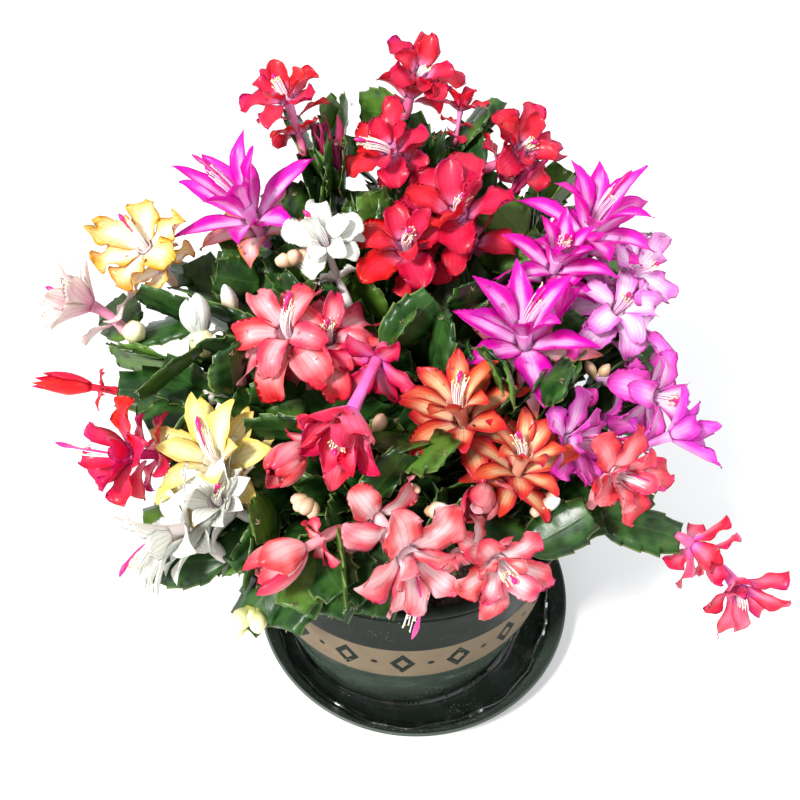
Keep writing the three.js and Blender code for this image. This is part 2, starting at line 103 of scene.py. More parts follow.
# %% Light and floor
scene = bpy.context.scene
scene.view_settings.view_transform = "Standard"
world = bpy.data.worlds.new("bright sky")
scene.world = world
world.use_nodes = True
sky = world.node_tree.nodes["Background"].inputs
sky["Color"].default_value, sky["Strength"].default_value = (0.97, 0.985, 1.0, 1), 0.88


def lamp(name, place, target, size, power, colour=(1, 1, 1)):
    """A square soft lamp at a place, facing a target, in metres and watts."""
    light = bpy.data.lights.new(name, "AREA")
    light.size, light.energy, light.color = size, power, colour
    made = bpy.data.objects.new(name, light)
    made.location = place
    made.rotation_euler = (Vector(target) - Vector(place)).to_track_quat("-Z", "Y").to_euler()
    scene.collection.objects.link(made)


lamp("key lamp", (-0.75, -0.75, 1.35), (0, 0, 0.18), 0.26, 36, (1, 0.985, 0.96))
lamp("side lamp", (1.1, 0.3, 0.9), (0, 0, 0.15), 0.8, 6, (0.94, 0.97, 1))
print("lamps:", len(bpy.data.lights))

# %% [markdown]
# ## Small helpers for node trees
#
# Every material and every Geometry Nodes tree below is built in the script, so one short helper
# adds a node, sets its fields and fills its sockets, by a link if it is given a socket and by a
# number if not.

# %% Node helpers
def node(tree, kind, inputs=None, **fields):
    """Adds a node. Keys of inputs are socket names or numbers, values are sockets or plain values."""
    made = tree.nodes.new(kind)
    for key, value in fields.items():
        setattr(made, key, value)
    for key, value in (inputs or {}).items():
        if isinstance(value, bpy.types.NodeSocket):
            tree.links.new(value, made.inputs[key])
        else:
            made.inputs[key].default_value = value
    return made


def maths(tree, operation, *numbers):
    """One step of arithmetic on sockets or plain numbers."""
    return node(tree, "ShaderNodeMath", dict(enumerate(numbers)), operation=operation).outputs[0]


def times(tree, a, b):
    return maths(tree, "MULTIPLY", a, b)


def scaled(tree, a, factor, plus):
    """a times a factor, plus something."""
    return maths(tree, "MULTIPLY_ADD", a, factor, plus)


def vector_maths(tree, operation, *vectors, output=0):
    """One step of arithmetic on vectors."""
    made = node(tree, "ShaderNodeVectorMath", dict(enumerate(vectors)), operation=operation)
    return made.outputs[output]


def mixed(tree, share, a, b, blend="MIX"):
    """Mixes two colours by a share from 0 to 1."""
    made = node(tree, "ShaderNodeMix", {0: share, 6: a, 7: b}, data_type="RGBA", blend_type=blend)
    return made.outputs[2]


def eased(tree, value, low, high, start=0.0, end=1.0):
    """start below low, end above high, and a smooth step between them."""
    inputs = {0: value, 1: low, 2: high, 3: start, 4: end}
    return node(tree, "ShaderNodeMapRange", inputs, interpolation_type="SMOOTHSTEP").outputs[0]


def mark(tree, name):
    """A number that the maker stored on the surface, such as how far along a petal a point is."""
    return node(tree, "ShaderNodeAttribute", attribute_name=name).outputs["Fac"]


def place(tree):
    return node(tree, "ShaderNodeTexCoord").outputs["Object"]


def noise(tree, scale, detail, roughness=0.5):
    inputs = {"Vector": place(tree), "Scale": scale, "Detail": detail, "Roughness": roughness}
    return node(tree, "ShaderNodeTexNoise", inputs).outputs["Fac"]


def toned(tree, colour, **changes):
    """A colour with its Hue or Value changed. A Hue of 0.5 and a Value of 1 leave it as it is."""
    return node(tree, "ShaderNodeHueSaturation", {**changes, "Color": colour}).outputs[0]


def group_of(name, kind, inputs, outputs):
    """An empty node group with named inputs and outputs: (name, socket kind, default) rows."""
    tree = bpy.data.node_groups.new(name, kind)
    for label, socket, default in inputs:
        made = tree.interface.new_socket(name=label, in_out="INPUT", socket_type=socket)
        if default is not None:
            made.default_value = default
    for label, socket in outputs:
        tree.interface.new_socket(name=label, in_out="OUTPUT", socket_type=socket)
    return tree, node(tree, "NodeGroupInput").outputs, node(tree, "NodeGroupOutput").inputs


def material(name, **fixed):
    """A new material and its Principled shader, with the values that are the same all over."""
    made = bpy.data.materials.new(name)
    made.use_nodes = True
    shader = made.node_tree.nodes["Principled BSDF"]
    for label, value in fixed.items():
        shader.inputs[label.replace("_", " ")].default_value = value
    return made, made.node_tree, shader


def use_group(tree, group, values):
    """Adds a group node with its values, and gives its outputs."""
    made = node(tree, "ShaderNodeGroup", node_tree=group)
    for label, value in values.items():
        made.inputs[label].default_value = value
    return made.outputs


def dress(tree, shader, colour, rough, height, strength, distance):
    """Gives a shader its colour and roughness, and lets a height pattern tilt the surface."""
    tree.links.new(colour, shader.inputs["Base Color"])
    tree.links.new(rough, shader.inputs["Roughness"])
    inputs = {"Height": height, "Strength": strength, "Distance": distance}
    tree.links.new(node(tree, "ShaderNodeBump", inputs).outputs[0], shader.inputs["Normal"])


def new_object(name, mesh):
    made = bpy.data.objects.new(name, mesh)
    scene.collection.objects.link(made)
    return made


# %% Floor
FLOOR, FLOOR_DROP = 6.0, 0.0002        # metres: its half width, and how far it lies below the part
floor_mesh = bpy.data.meshes.new("floor")
corners = [(x * FLOOR, y * FLOOR, -FLOOR_DROP) for x, y in ((-1, -1), (1, -1), (1, 1), (-1, 1))]
floor_mesh.from_pydata(corners, [], [(0, 1, 2, 3)])
floor = new_object("floor", floor_mesh)
paper, tree, shader = material("pale paper", Roughness=0.8)
tone = mixed(tree, noise(tree, 40, 3), (0.93, 0.93, 0.93, 1), (0.96, 0.96, 0.96, 1))
tree.links.new(tone, shader.inputs["Base Color"])
floor_mesh.materials.append(paper)
print("floor half width", FLOOR, "m")

# %% [markdown]
# ## Shared surface effects
#
# Two effects turn up on many finishes, so each is a node group. "Fine grain" gives a soft
# mottling and a fine height. "Petal colouring" paints a petal by where a point lies on it: how far
# across from the middle and how far along from the root. Christmas cactus petals are palest at the
# heart and down the middle, and strongest at the edge and tip, with fine veins along them.

# %% Fine grain
COLOUR, NUMBER = "NodeSocketColor", "NodeSocketFloat"
grain, inside, out = group_of(
    "fine grain", "ShaderNodeTree",
    [("Scale", NUMBER, 300.0), ("Contrast", NUMBER, 1.0)], [("Mottle", NUMBER), ("Height", NUMBER)])
coarse = noise(grain, times(grain, inside["Scale"], 0.25), 3)
fine = noise(grain, inside["Scale"], 4, 0.6)
spread = times(grain, maths(grain, "SUBTRACT", coarse, 0.5), inside["Contrast"])
grain.links.new(maths(grain, "ADD", spread, 0.5), out["Mottle"])
grain.links.new(fine, out["Height"])
print("group:", grain.name)

# %% Petal colouring
g, inside, out = group_of(
    "petal colouring", "ShaderNodeTree",
    [("Edge", COLOUR, (1, 0, 0, 1)), ("Body", COLOUR, (1, 0, 0, 1)), ("Heart", COLOUR, (1, 1, 1, 1)),
     ("Stripe", COLOUR, (1, 1, 1, 1)), ("Stripe strength", NUMBER, 0.5), ("Edge start", NUMBER, 0.5),
     ("Blush", COLOUR, (1, 1, 1, 1)), ("Blush strength", NUMBER, 0.3), ("Veins", NUMBER, 0.2),
     ("Tip start", NUMBER, 0.7), ("Stripe width", NUMBER, 0.62)],
    [("Colour", COLOUR), ("Roughness", NUMBER), ("Height", NUMBER)])
across, along, seed = mark(g, "across"), mark(g, "along"), mark(g, "seed")
wobble = maths(g, "SUBTRACT", noise(g, 110, 3), 0.5)
off_middle = scaled(g, wobble, 0.35, maths(g, "ABSOLUTE", across))
far_along = scaled(g, wobble, 0.25, along)
edge_share = maths(g, "MAXIMUM", eased(g, off_middle, inside["Edge start"], 0.98),
                   eased(g, far_along, inside["Tip start"], 1.0))
body = mixed(g, eased(g, far_along, 0.02, 0.42), inside["Heart"], inside["Body"])
stripe_share = times(g, eased(g, off_middle, 0.06, inside["Stripe width"], 1, 0),
                     eased(g, far_along, 0.45, 0.9, 1, 0))
body = mixed(g, times(g, stripe_share, inside["Stripe strength"]), body, inside["Stripe"])
tinted = mixed(g, edge_share, body, inside["Edge"])
cloud = eased(g, noise(g, 48, 2), 0.48, 0.68)
tinted = mixed(g, times(g, cloud, inside["Blush strength"]), tinted, inside["Blush"])
wander = scaled(g, noise(g, 60, 1), 2.5, times(g, across, 19.0))
vein = eased(g, maths(g, "SINE", wander), 0.55, 1.0)
dark = mixed(g, times(g, vein, inside["Veins"]), tinted, (0.62, 0.42, 0.5, 1), "MULTIPLY")
sway = maths(g, "SUBTRACT", seed, 0.5)
dark = toned(g, dark, Hue=scaled(g, sway, 0.012, 0.497), Value=scaled(g, sway, 0.16, 1.02))
g.links.new(dark, out["Colour"])
g.links.new(eased(g, noise(g, 170, 2), 0.3, 0.7, 0.36, 0.58), out["Roughness"])
g.links.new(scaled(g, vein, 0.7, times(g, noise(g, 900, 2), 0.5)), out["Height"])
print("group:", g.name)
petal_group = g

# %% [markdown]
# ## Petal finishes
#
# One function makes every petal finish from its few colours. A petal is thin and wet inside, so
# light passes into it: a little subsurface scattering gives the glow, and a thin coat gives the
# waxy shine.

# %% Petal finishes
def petal_finish(name, edge, body, heart, stripe, stripe_strength, edge_start, blush, blush_strength,
                 veins, tip_start=0.7, stripe_width=0.62):
    made, tree, shader = material(name, Coat_Roughness=0.2, Coat_Weight=0.15, Specular_IOR_Level=0.2,
                                  Subsurface_Weight=0.22, Subsurface_Scale=0.004,
                                  Subsurface_Radius=(1.0, 0.5, 0.5))
    painted = use_group(tree, petal_group, {
        "Edge": (*edge, 1), "Body": (*body, 1), "Heart": (*heart, 1), "Stripe": (*stripe, 1),
        "Stripe strength": stripe_strength, "Edge start": edge_start,
        "Blush": (*blush, 1), "Blush strength": blush_strength, "Veins": veins,
        "Tip start": tip_start, "Stripe width": stripe_width})
    dress(tree, shader, painted["Colour"], painted["Roughness"], painted["Height"], 0.35, 0.0006)
    return made


# Edge, body, heart and stripe colours, stripe strength, where the edge starts, blush and its strength,
# veins, and for some where the tip starts and how wide the stripe is.
PETAL_COLOURS = {
    "magenta": ((0.62, 0.0005, 0.3), (0.74, 0.004, 0.4), (0.9, 0.52, 0.86), (0.93, 0.56, 0.9),
        0.75, 0.3, (0.62, 0.002, 0.45), 0.35, 0.4, 0.6, 0.5),
    "red": ((0.46, 0.001, 0.007), (0.58, 0.006, 0.02), (0.88, 0.4, 0.76), (0.74, 0.05, 0.12),
        0.4, 0.35, (0.66, 0.03, 0.045), 0.35, 0.3),
    "scarlet": ((0.66, 0.001, 0.003), (0.74, 0.004, 0.006), (0.78, 0.03, 0.05), (0.82, 0.03, 0.04),
        0.3, 0.5, (0.8, 0.02, 0.03), 0.3, 0.2),
    "coral": ((0.62, 0.012, 0.03), (0.74, 0.065, 0.08), (0.9, 0.5, 0.56), (0.92, 0.46, 0.48),
        0.7, 0.38, (0.86, 0.4, 0.42), 0.45, 0.3),
    "salmon": ((0.6, 0.016, 0.035), (0.8, 0.12, 0.13), (0.95, 0.84, 0.88), (0.96, 0.74, 0.75),
        0.95, 0.45, (0.92, 0.6, 0.62), 0.55, 0.35),
    "orange": ((0.5, 0.006, 0.008), (0.78, 0.2, 0.07), (0.84, 0.4, 0.34), (0.86, 0.6, 0.33),
        0.9, 0.22, (0.66, 0.06, 0.02), 0.4, 0.4, 0.42, 0.6),
    "gold": ((0.74, 0.27, 0.006), (0.8, 0.55, 0.2), (0.86, 0.8, 0.76), (0.88, 0.82, 0.72),
        0.85, 0.5, (0.76, 0.4, 0.03), 0.35, 0.35),
    "cream": ((0.74, 0.52, 0.08), (0.82, 0.7, 0.28), (0.9, 0.88, 0.66), (0.88, 0.84, 0.58),
        0.7, 0.45, (0.76, 0.6, 0.14), 0.35, 0.3),
    "white": ((0.66, 0.69, 0.62), (0.73, 0.76, 0.69), (0.8, 0.74, 0.7), (0.78, 0.8, 0.73),
        0.5, 0.6, (0.6, 0.64, 0.58), 0.4, 0.4),
    "blush white": ((0.72, 0.55, 0.46), (0.76, 0.64, 0.62), (0.56, 0.1, 0.3), (0.76, 0.44, 0.54),
        0.65, 0.6, (0.68, 0.32, 0.4), 0.5, 0.4),
    "lilac": ((0.72, 0.09, 0.52), (0.84, 0.36, 0.72), (0.93, 0.78, 0.92), (0.94, 0.78, 0.92),
        0.85, 0.4, (0.84, 0.4, 0.76), 0.4, 0.35),
    "pink": ((0.6, 0.01, 0.33), (0.78, 0.13, 0.54), (0.92, 0.66, 0.88), (0.93, 0.68, 0.9),
        0.9, 0.42, (0.7, 0.08, 0.56), 0.35, 0.35),
    "purple": ((0.52, 0.006, 0.36), (0.66, 0.06, 0.52), (0.84, 0.4, 0.8), (0.84, 0.4, 0.8),
        0.7, 0.4, (0.6, 0.05, 0.54), 0.4, 0.3),
    "crimson": ((0.56, 0.002, 0.02), (0.72, 0.014, 0.05), (0.76, 0.12, 0.66), (0.88, 0.3, 0.46),
        0.55, 0.42, (0.86, 0.16, 0.3), 0.45, 0.3),
    "wine red": ((0.5, 0.001, 0.006), (0.62, 0.003, 0.014), (0.68, 0.03, 0.26), (0.72, 0.02, 0.12),
        0.5, 0.4, (0.72, 0.02, 0.14), 0.4, 0.3),
    "sunset": ((0.76, 0.16, 0.03), (0.86, 0.3, 0.36), (0.9, 0.46, 0.7), (0.93, 0.72, 0.6),
        0.85, 0.4, (0.78, 0.1, 0.3), 0.5, 0.3),
    "wilted": ((0.3, 0.008, 0.05), (0.5, 0.03, 0.12), (0.45, 0.05, 0.12), (0.5, 0.06, 0.16),
        0.3, 0.3, (0.25, 0.02, 0.05), 0.6, 0.8),
}
PETALS = {name: petal_finish(f"{name} petal", *colours) for name, colours in PETAL_COLOURS.items()}
print("petal finishes:", len(PETALS))


# %% [markdown]
# ## Stem skin, bark, soil and flower parts
#
# The flat segments are stems, not leaves. Their skin is dark green and satin, lighter along the
# toothed edge and the midrib. Old wood at the foot of a branch is corky brown.

# %% Stem and bark finishes
def grain_of(tree, scale, contrast):
    grained = use_group(tree, grain, {"Scale": scale, "Contrast": contrast})
    return grained["Mottle"], grained["Height"]


def coarse_finish(name, scale, contrast, low, high, rough, height_range, strength, distance):
    """A rough, mottled finish, such as bark or soil, between a low and a high colour."""
    made, tree, shader = material(name)
    mottle, height = grain_of(tree, scale, contrast)
    colour = mixed(tree, mottle, (*low, 1), (*high, 1))
    dress(tree, shader, colour, eased(tree, height, *height_range, *rough), height, strength, distance)
    return made


skin, tree, shader = material("stem skin", Coat_Roughness=0.22, Coat_Weight=0.12, Specular_IOR_Level=0.3)
across, along, seed = mark(tree, "across"), mark(tree, "along"), mark(tree, "seed")
mottle, height = grain_of(tree, 420.0, 1.6)
off_middle = maths(tree, "ABSOLUTE", across)
half_mottle = maths(tree, "SUBTRACT", mottle, 0.5)
young = eased(tree, scaled(tree, half_mottle, 0.5, seed), 0.55, 1.0)
green = mixed(tree, eased(tree, mottle, 0.25, 0.75), (0.008, 0.036, 0.007, 1), (0.026, 0.088, 0.013, 1))
green = mixed(tree, times(tree, young, 0.75), green, (0.095, 0.2, 0.02, 1))
green = mixed(tree, eased(tree, off_middle, 0.0, 0.07, 0.22, 0.0), green, (0.08, 0.17, 0.035, 1))
green = mixed(tree, eased(tree, off_middle, 0.88, 1.0, 0.0, 0.7), green, (0.26, 0.34, 0.1, 1))
rust = times(tree, eased(tree, noise(tree, 130, 4), 0.6, 0.75), eased(tree, along, 0.7, 1.0, 0.1, 0.55))
green = mixed(tree, rust, green, (0.2, 0.12, 0.05, 1))
side_vein = maths(tree, "SINE", scaled(tree, off_middle, -9.0, times(tree, along, 34.0)))
relief = scaled(tree, eased(tree, side_vein, 0.6, 1.0), 0.07, times(tree, height, 0.6))
relief = maths(tree, "ADD", relief, eased(tree, off_middle, 0.0, 0.12, 0.8, 0.0))
dress(tree, shader, green, eased(tree, mottle, 0.2, 0.8, 0.3, 0.52), relief, 0.35, 0.0006)
bark = coarse_finish("corky bark", 500.0, 1.8, (0.05, 0.035, 0.02), (0.19, 0.14, 0.08), (0.75, 0.95),
                     (0.2, 0.8), 0.8, 0.001)
print("finishes:", skin.name, bark.name)


# %% Bristle, filament, anther and bud finishes
def soft_finish(name, low, high, rough=(0.4, 0.6), scale=400.0, scatter=0.15):
    """A finish whose colour runs from low at the foot to high at the tip, with a fine mottling."""
    made, tree, shader = material(name, Subsurface_Weight=scatter, Subsurface_Scale=0.003)
    mottle, height = grain_of(tree, scale, 1.5)
    share = scaled(tree, maths(tree, "SUBTRACT", mottle, 0.5), 0.6, mark(tree, "along"))
    tint = mixed(tree, eased(tree, share, 0.1, 0.9), (*low, 1), (*high, 1))
    tint = toned(tree, tint, Value=scaled(tree, mark(tree, "seed"), 0.25, 0.88))
    dress(tree, shader, tint, eased(tree, mottle, 0.2, 0.8, *rough), height, 0.3, 0.0004)
    return made


bristle = soft_finish("areole bristle", (0.2, 0.13, 0.06), (0.5, 0.4, 0.25), (0.7, 0.9), 800.0, 0.0)
THREADS = {
    "pink": soft_finish("pink filament", (0.9, 0.45, 0.72), (0.93, 0.7, 0.85)),
    "white": soft_finish("white filament", (0.92, 0.85, 0.88), (0.95, 0.93, 0.9)),
}
anther = soft_finish("pollen anther", (0.9, 0.78, 0.42), (0.95, 0.88, 0.6), (0.7, 0.9), 900.0)
style = soft_finish("magenta style", (0.66, 0.04, 0.28), (0.6, 0.005, 0.2), (0.3, 0.45), 500.0)
BUDS = {
    "peach": ((0.5, 0.42, 0.16), (0.93, 0.6, 0.42), (0.35, 0.5), 240.0),
    "white": ((0.85, 0.52, 0.2), (0.94, 0.93, 0.88), (0.35, 0.5), 160.0),
    "cream": ((0.42, 0.46, 0.12), (0.9, 0.82, 0.5), (0.35, 0.5), 200.0),
    "magenta": ((0.6, 0.05, 0.3), (0.8, 0.03, 0.42), (0.3, 0.45), 240.0),
}
BUDS = {name: soft_finish(f"{name} bud", *colours) for name, colours in BUDS.items()}
print("bud finishes:", len(BUDS))

# %% [markdown]
# ## Turned plastic: the pot and its saucer
#
# A nursery pot is moulded from one glossy dark plastic. It is turned about its axis, so its shape
# is one profile and its finish can be worked out from height and from the turn round the axis.
# A printed band runs round the wall. It carries a plain row of lozenges and dots.

# %% Plastic finish
BAND_LOW, BAND_HIGH, BAND_EDGE = 0.068, 0.100, 0.0003       # metres up the wall
BAND_OUTSIDE = (0.0857, 0.0861)   # metres from the axis: the band is printed on the outer face only
BAND_REPEATS = 18
REPEAT_LENGTH = 30.5              # millimetres of wall to one lozenge and one dot
LOZENGE_SLANT, LOZENGE_OUTER, LOZENGE_INNER = 0.62, (6.9, 7.2), (3.0, 3.3)
DOT_RADIUS = (1.7, 2.1)
WATER_LINE = 0.0078               # metres up the saucer
SAUCER_SHIFT = (6.8, -1.6)        # millimetres from the pot's axis to the saucer's
SAUCER_SLOPE, SAUCER_INSIDE = -0.525, (0.0884, 0.0889)      # its sloping wall, seen from inside


def dry_rim_and_painted_light(tree, tint, x, z):
    """Inside the saucer, the wall above the water is dry and paler; the pale rim is also painted light,
    strongest at the left, where the light falls.
    """
    level = scaled(tree, noise(tree, 60, 3), 0.004, z)
    dry = eased(tree, level, WATER_LINE + 0.001, WATER_LINE + 0.0025, 0, 0.85)
    from_axis = vector_maths(tree, "SUBTRACT", place(tree), [c * MM for c in SAUCER_SHIFT] + [0])
    flat = vector_maths(tree, "MULTIPLY", from_axis, (1, 1, 0))
    radius = vector_maths(tree, "LENGTH", flat, output="Value")
    within = eased(tree, scaled(tree, z, SAUCER_SLOPE, radius), *SAUCER_INSIDE, 1, 0)
    # Painted light: the pale rim is painted strongest at the left, where the light falls, and weaker at
    # the right.
    share = times(tree, times(tree, dry, within), eased(tree, x, -0.07, 0.09, 1.0, 0.35))
    return mixed(tree, share, tint, (0.15, 0.18, 0.16, 1))


def hypotenuse(tree, a, b):
    return maths(tree, "POWER", scaled(tree, a, a, times(tree, b, b)), 0.5)


def printed_band(tree, tint, rough, mottle, x, y, z):
    """A wall painted paler at its foot and darker at its neck, as painted light, with a printed band of
    lozenges and dots.
    """
    # Painted light: the foot of the wall is painted paler, to undo the plant's shade on it, and the neck
    # darker, to damp its bright reflection.
    tint = toned(tree, tint, Value=eased(tree, z, 0.05, 0.103, 2.3, 0.6))
    turn = maths(tree, "ARCTAN2", x, times(tree, y, -1.0))
    cell = maths(tree, "FRACT", scaled(tree, turn, BAND_REPEATS / (2 * math.pi), 0.5))
    over = times(tree, maths(tree, "ABSOLUTE", maths(tree, "SUBTRACT", cell, 0.5)), REPEAT_LENGTH)
    rise_mm = times(tree, maths(tree, "SUBTRACT", z, (BAND_LOW + BAND_HIGH) / 2), 1000.0)
    rise_mm = maths(tree, "ABSOLUTE", rise_mm)
    reach = scaled(tree, rise_mm, LOZENGE_SLANT, over)
    lozenge = times(tree, eased(tree, reach, *LOZENGE_OUTER, 1, 0),
                    eased(tree, reach, *LOZENGE_INNER, 0, 1))
    from_side = maths(tree, "SUBTRACT", REPEAT_LENGTH / 2, over)
    dot = eased(tree, hypotenuse(tree, from_side, rise_mm), *DOT_RADIUS, 1, 0)
    ink = times(tree, maths(tree, "MAXIMUM", lozenge, dot), eased(tree, noise(tree, 420, 4), 0.3, 0.38))
    print_tint = mixed(tree, mottle, (0.135, 0.103, 0.066, 1), (0.21, 0.16, 0.106, 1))
    print_tint = mixed(tree, ink, print_tint, (0.012, 0.018, 0.014, 1))
    inside_band = times(tree, eased(tree, z, BAND_LOW, BAND_LOW + BAND_EDGE),
                        eased(tree, z, BAND_HIGH - BAND_EDGE, BAND_HIGH, 1, 0))
    inside_band = times(tree, inside_band, eased(tree, hypotenuse(tree, x, y), *BAND_OUTSIDE))
    return mixed(tree, inside_band, tint, print_tint), scaled(tree, inside_band, 0.16, rough)


def plastic(name, low, high, banded, ior):
    made, tree, shader = material(name, IOR=ior)
    mottle, height = grain_of(tree, 260.0, 1.4)
    dusty = mixed(tree, mottle, (*low, 1), (*high, 1))
    spots = node(tree, "ShaderNodeTexVoronoi", {"Vector": place(tree), "Scale": 420.0}, feature="F1")
    spot = times(tree, eased(tree, spots.outputs["Distance"], 0.16, 0.26, 1, 0),
                 eased(tree, noise(tree, 34, 3), 0.56, 0.66))
    tint = mixed(tree, times(tree, spot, 0.5), dusty, (0.28, 0.33, 0.3, 1))
    rough = eased(tree, mottle, 0.2, 0.8, 0.16, 0.34)
    x, y, z = node(tree, "ShaderNodeSeparateXYZ", {0: place(tree)}).outputs
    if banded:
        tint, rough = printed_band(tree, tint, rough, mottle, x, y, z)
    else:
        tint = dry_rim_and_painted_light(tree, tint, x, z)
    dress(tree, shader, tint, rough, scaled(tree, spot, 0.6, times(tree, height, 0.15)), 0.35, 0.0005)
    return made


pot_plastic = plastic("glossy pot plastic", (0.0135, 0.0185, 0.0145), (0.026, 0.035, 0.027), True, 1.07)
saucer_plastic = plastic("glossy saucer plastic", (0.0105, 0.0175, 0.013), (0.022, 0.034, 0.026),
                         False, 1.3)
print("plastic finishes made")


# %% Turned shapes
def filleted(profile, radius, steps=4):
    """The profile with all its corners rounded but the two ends, by curves that start radius away."""
    points = [np.array(p, float) for p in profile]
    most = 0.45                       # of the way along a side, so that two curves never meet
    made = [points[0]]
    for before, corner, after in zip(points, points[1:], points[2:]):
        back, on = before - corner, after - corner
        reach = min(radius, np.linalg.norm(back) * most, np.linalg.norm(on) * most)
        start, end = corner + unit(back) * reach, corner + unit(on) * reach
        for share in np.linspace(0, 1, steps):
            made.append((1 - share) ** 2 * start + 2 * share * (1 - share) * corner + share ** 2 * end)
    return made + [points[-1]]


def unit(vector):
    vector = np.asarray(vector, float)
    return vector / np.linalg.norm(vector)


def round_shell(rings, sides):
    """One list of points, and the faces between each ring and the next. A ring of one point is a tip."""
    points, corners = [], []
    for ring in rings:
        corners.append([len(points) + i % len(ring) for i in range(sides)])
        points += ring
    faces = [list(dict.fromkeys((low[i], low[i + 1 - sides], high[i + 1 - sides], high[i])))
             for low, high in zip(corners, corners[1:]) for i in range(sides)]
    return points, faces


def smooth_object(name, points, faces, finish):
    """A smooth object of one finish, from points in millimetres."""
    mesh = bpy.data.meshes.new(name)
    mesh.from_pydata([tuple(c * MM for c in p) for p in points], [], faces)
    mesh.shade_smooth()
    mesh.materials.append(finish)
    return new_object(name, mesh)


def lathe(name, profile, sides, finish, shift=(0, 0), wobble=lambda radius, height, turn: 0.0):
    """A solid of revolution from [radius, height] points that start and end on the axis."""
    turns = np.arange(sides) * 2 * math.pi / sides
    rings = [[(shift[0] + radius * math.cos(turn), shift[1] + radius * math.sin(turn),
               height + wobble(radius, height, turn)) for turn in turns] if radius
             else [(shift[0], shift[1], height)] for radius, height in profile]
    return smooth_object(name, *round_shell(rings, sides), finish)


# Each profile point is a radius and a height.
POT = [[0, 7.3], [66, 7.3], [66, 3.3], [74, 3.3], [77.4, 20], [87, 66], [87.15, 70], [88, 98],
       [88.3, 104], [89.9, 133], [91.1, 134], [91.4, 136.4], [90.6, 137.6], [90.5, 143.2],
       [93.9, 143.8], [95, 145.4], [95, 148.6], [93.8, 150], [90.2, 149.4], [88.9, 146], [88.1, 143],
       [87.4, 132], [85.6, 100], [84.6, 68], [72.6, 9.7], [0, 9.7]]
SAUCER = [[0, 0], [86, 0], [93, 5], [97.2, 14], [99.6, 19.2], [99.6, 20.5], [98.2, 20.5], [95, 14.4],
          [90.4, 6.4], [85, 3], [0, 3]]
pot = lathe("flower_pot", filleted(POT, 1.2), 160, pot_plastic)
saucer = lathe("drip_saucer", filleted(SAUCER, 1.4), 160, saucer_plastic, SAUCER_SHIFT)
print("pot faces", len(pot.data.polygons), "saucer faces", len(saucer.data.polygons))


# %% [markdown]
# ## Geometry Nodes for what repeats
#
# A christmas cactus is mostly repetition: hundreds of like segments, threads and crumbs. Three
# small Geometry Nodes trees do the repeating. "Placed shapes" puts one of a few shapes on every
# point, turned and sized by what the point carries. "Threads" gives a path a round body.
# "Scattered bits" strews a shape over a surface. Each tree realises its instances and sets the
# material, and the result is turned into a plain mesh straight away, so nothing live is left.

# %% Tree: placed shapes
GEOMETRY, WHOLE = "NodeSocketGeometry", "NodeSocketInt"


def carried(tree, name, kind):
    inputs = {"Name": name}
    return node(tree, "GeometryNodeInputNamedAttribute", inputs, data_type=kind).outputs["Attribute"]


def finish_tree(tree, geometry, inside, out):
    """Realises the instances, smooths the faces and sets the material."""
    real = node(tree, "GeometryNodeRealizeInstances", {"Geometry": geometry}).outputs[0]
    smooth = node(tree, "GeometryNodeSetShadeSmooth", {"Geometry": real}).outputs[0]
    painted = node(tree, "GeometryNodeSetMaterial", {"Geometry": smooth, "Material": inside["Material"]})
    tree.links.new(painted.outputs[0], out["Geometry"])


def tree_of(name, *inputs):
    """A Geometry Nodes group that takes and gives a geometry, with a material as its last input."""
    rows = [("Geometry", GEOMETRY, None), *inputs, ("Material", "NodeSocketMaterial", None)]
    return group_of(name, "GeometryNodeTree", rows, [("Geometry", GEOMETRY)])


placed_tree, inside, out = tree_of(
    "placed shapes", ("Shapes", "NodeSocketCollection", None), ("Sway", NUMBER, 0.1), ("Seed", WHOLE, 1))
t = placed_tree
shapes = node(t, "GeometryNodeCollectionInfo", {"Collection": inside["Shapes"], "Separate Children": True,
                                                "Reset Children": True}).outputs[0]
least, most = (node(t, "ShaderNodeVectorMath", {0: [end] * 3, "Scale": inside["Sway"]},
                    operation="SCALE").outputs[0] for end in (-1, 1))
swing = node(t, "FunctionNodeRandomValue", {0: least, 1: most, "Seed": inside["Seed"]},
             data_type="FLOAT_VECTOR")
swung = node(t, "FunctionNodeRotateRotation", {0: carried(t, "turn", "QUATERNION"), 1: swing.outputs[0]},
             rotation_space="LOCAL").outputs[0]
on_points = node(t, "GeometryNodeInstanceOnPoints", {
    "Points": inside["Geometry"], "Instance": shapes, "Pick Instance": True,
    "Instance Index": carried(t, "pick", "INT"), "Rotation": swung,
    "Scale": carried(t, "size", "FLOAT_VECTOR")}).outputs[0]
finish_tree(t, on_points, inside, out)

# %% Tree: threads
thread_tree, inside, out = tree_of("threads", ("Sides", WHOLE, 5))
t = thread_tree
path = node(t, "GeometryNodeMeshToCurve", {0: inside["Geometry"]}).outputs[0]
circle = {"Resolution": inside["Sides"], "Radius": 1.0}
ring = node(t, "GeometryNodeCurvePrimitiveCircle", circle).outputs[0]
body = node(t, "GeometryNodeCurveToMesh", {
    "Curve": path, "Profile Curve": ring, "Scale": carried(t, "thick", "FLOAT"),
    "Fill Caps": True}).outputs[0]
finish_tree(t, body, inside, out)

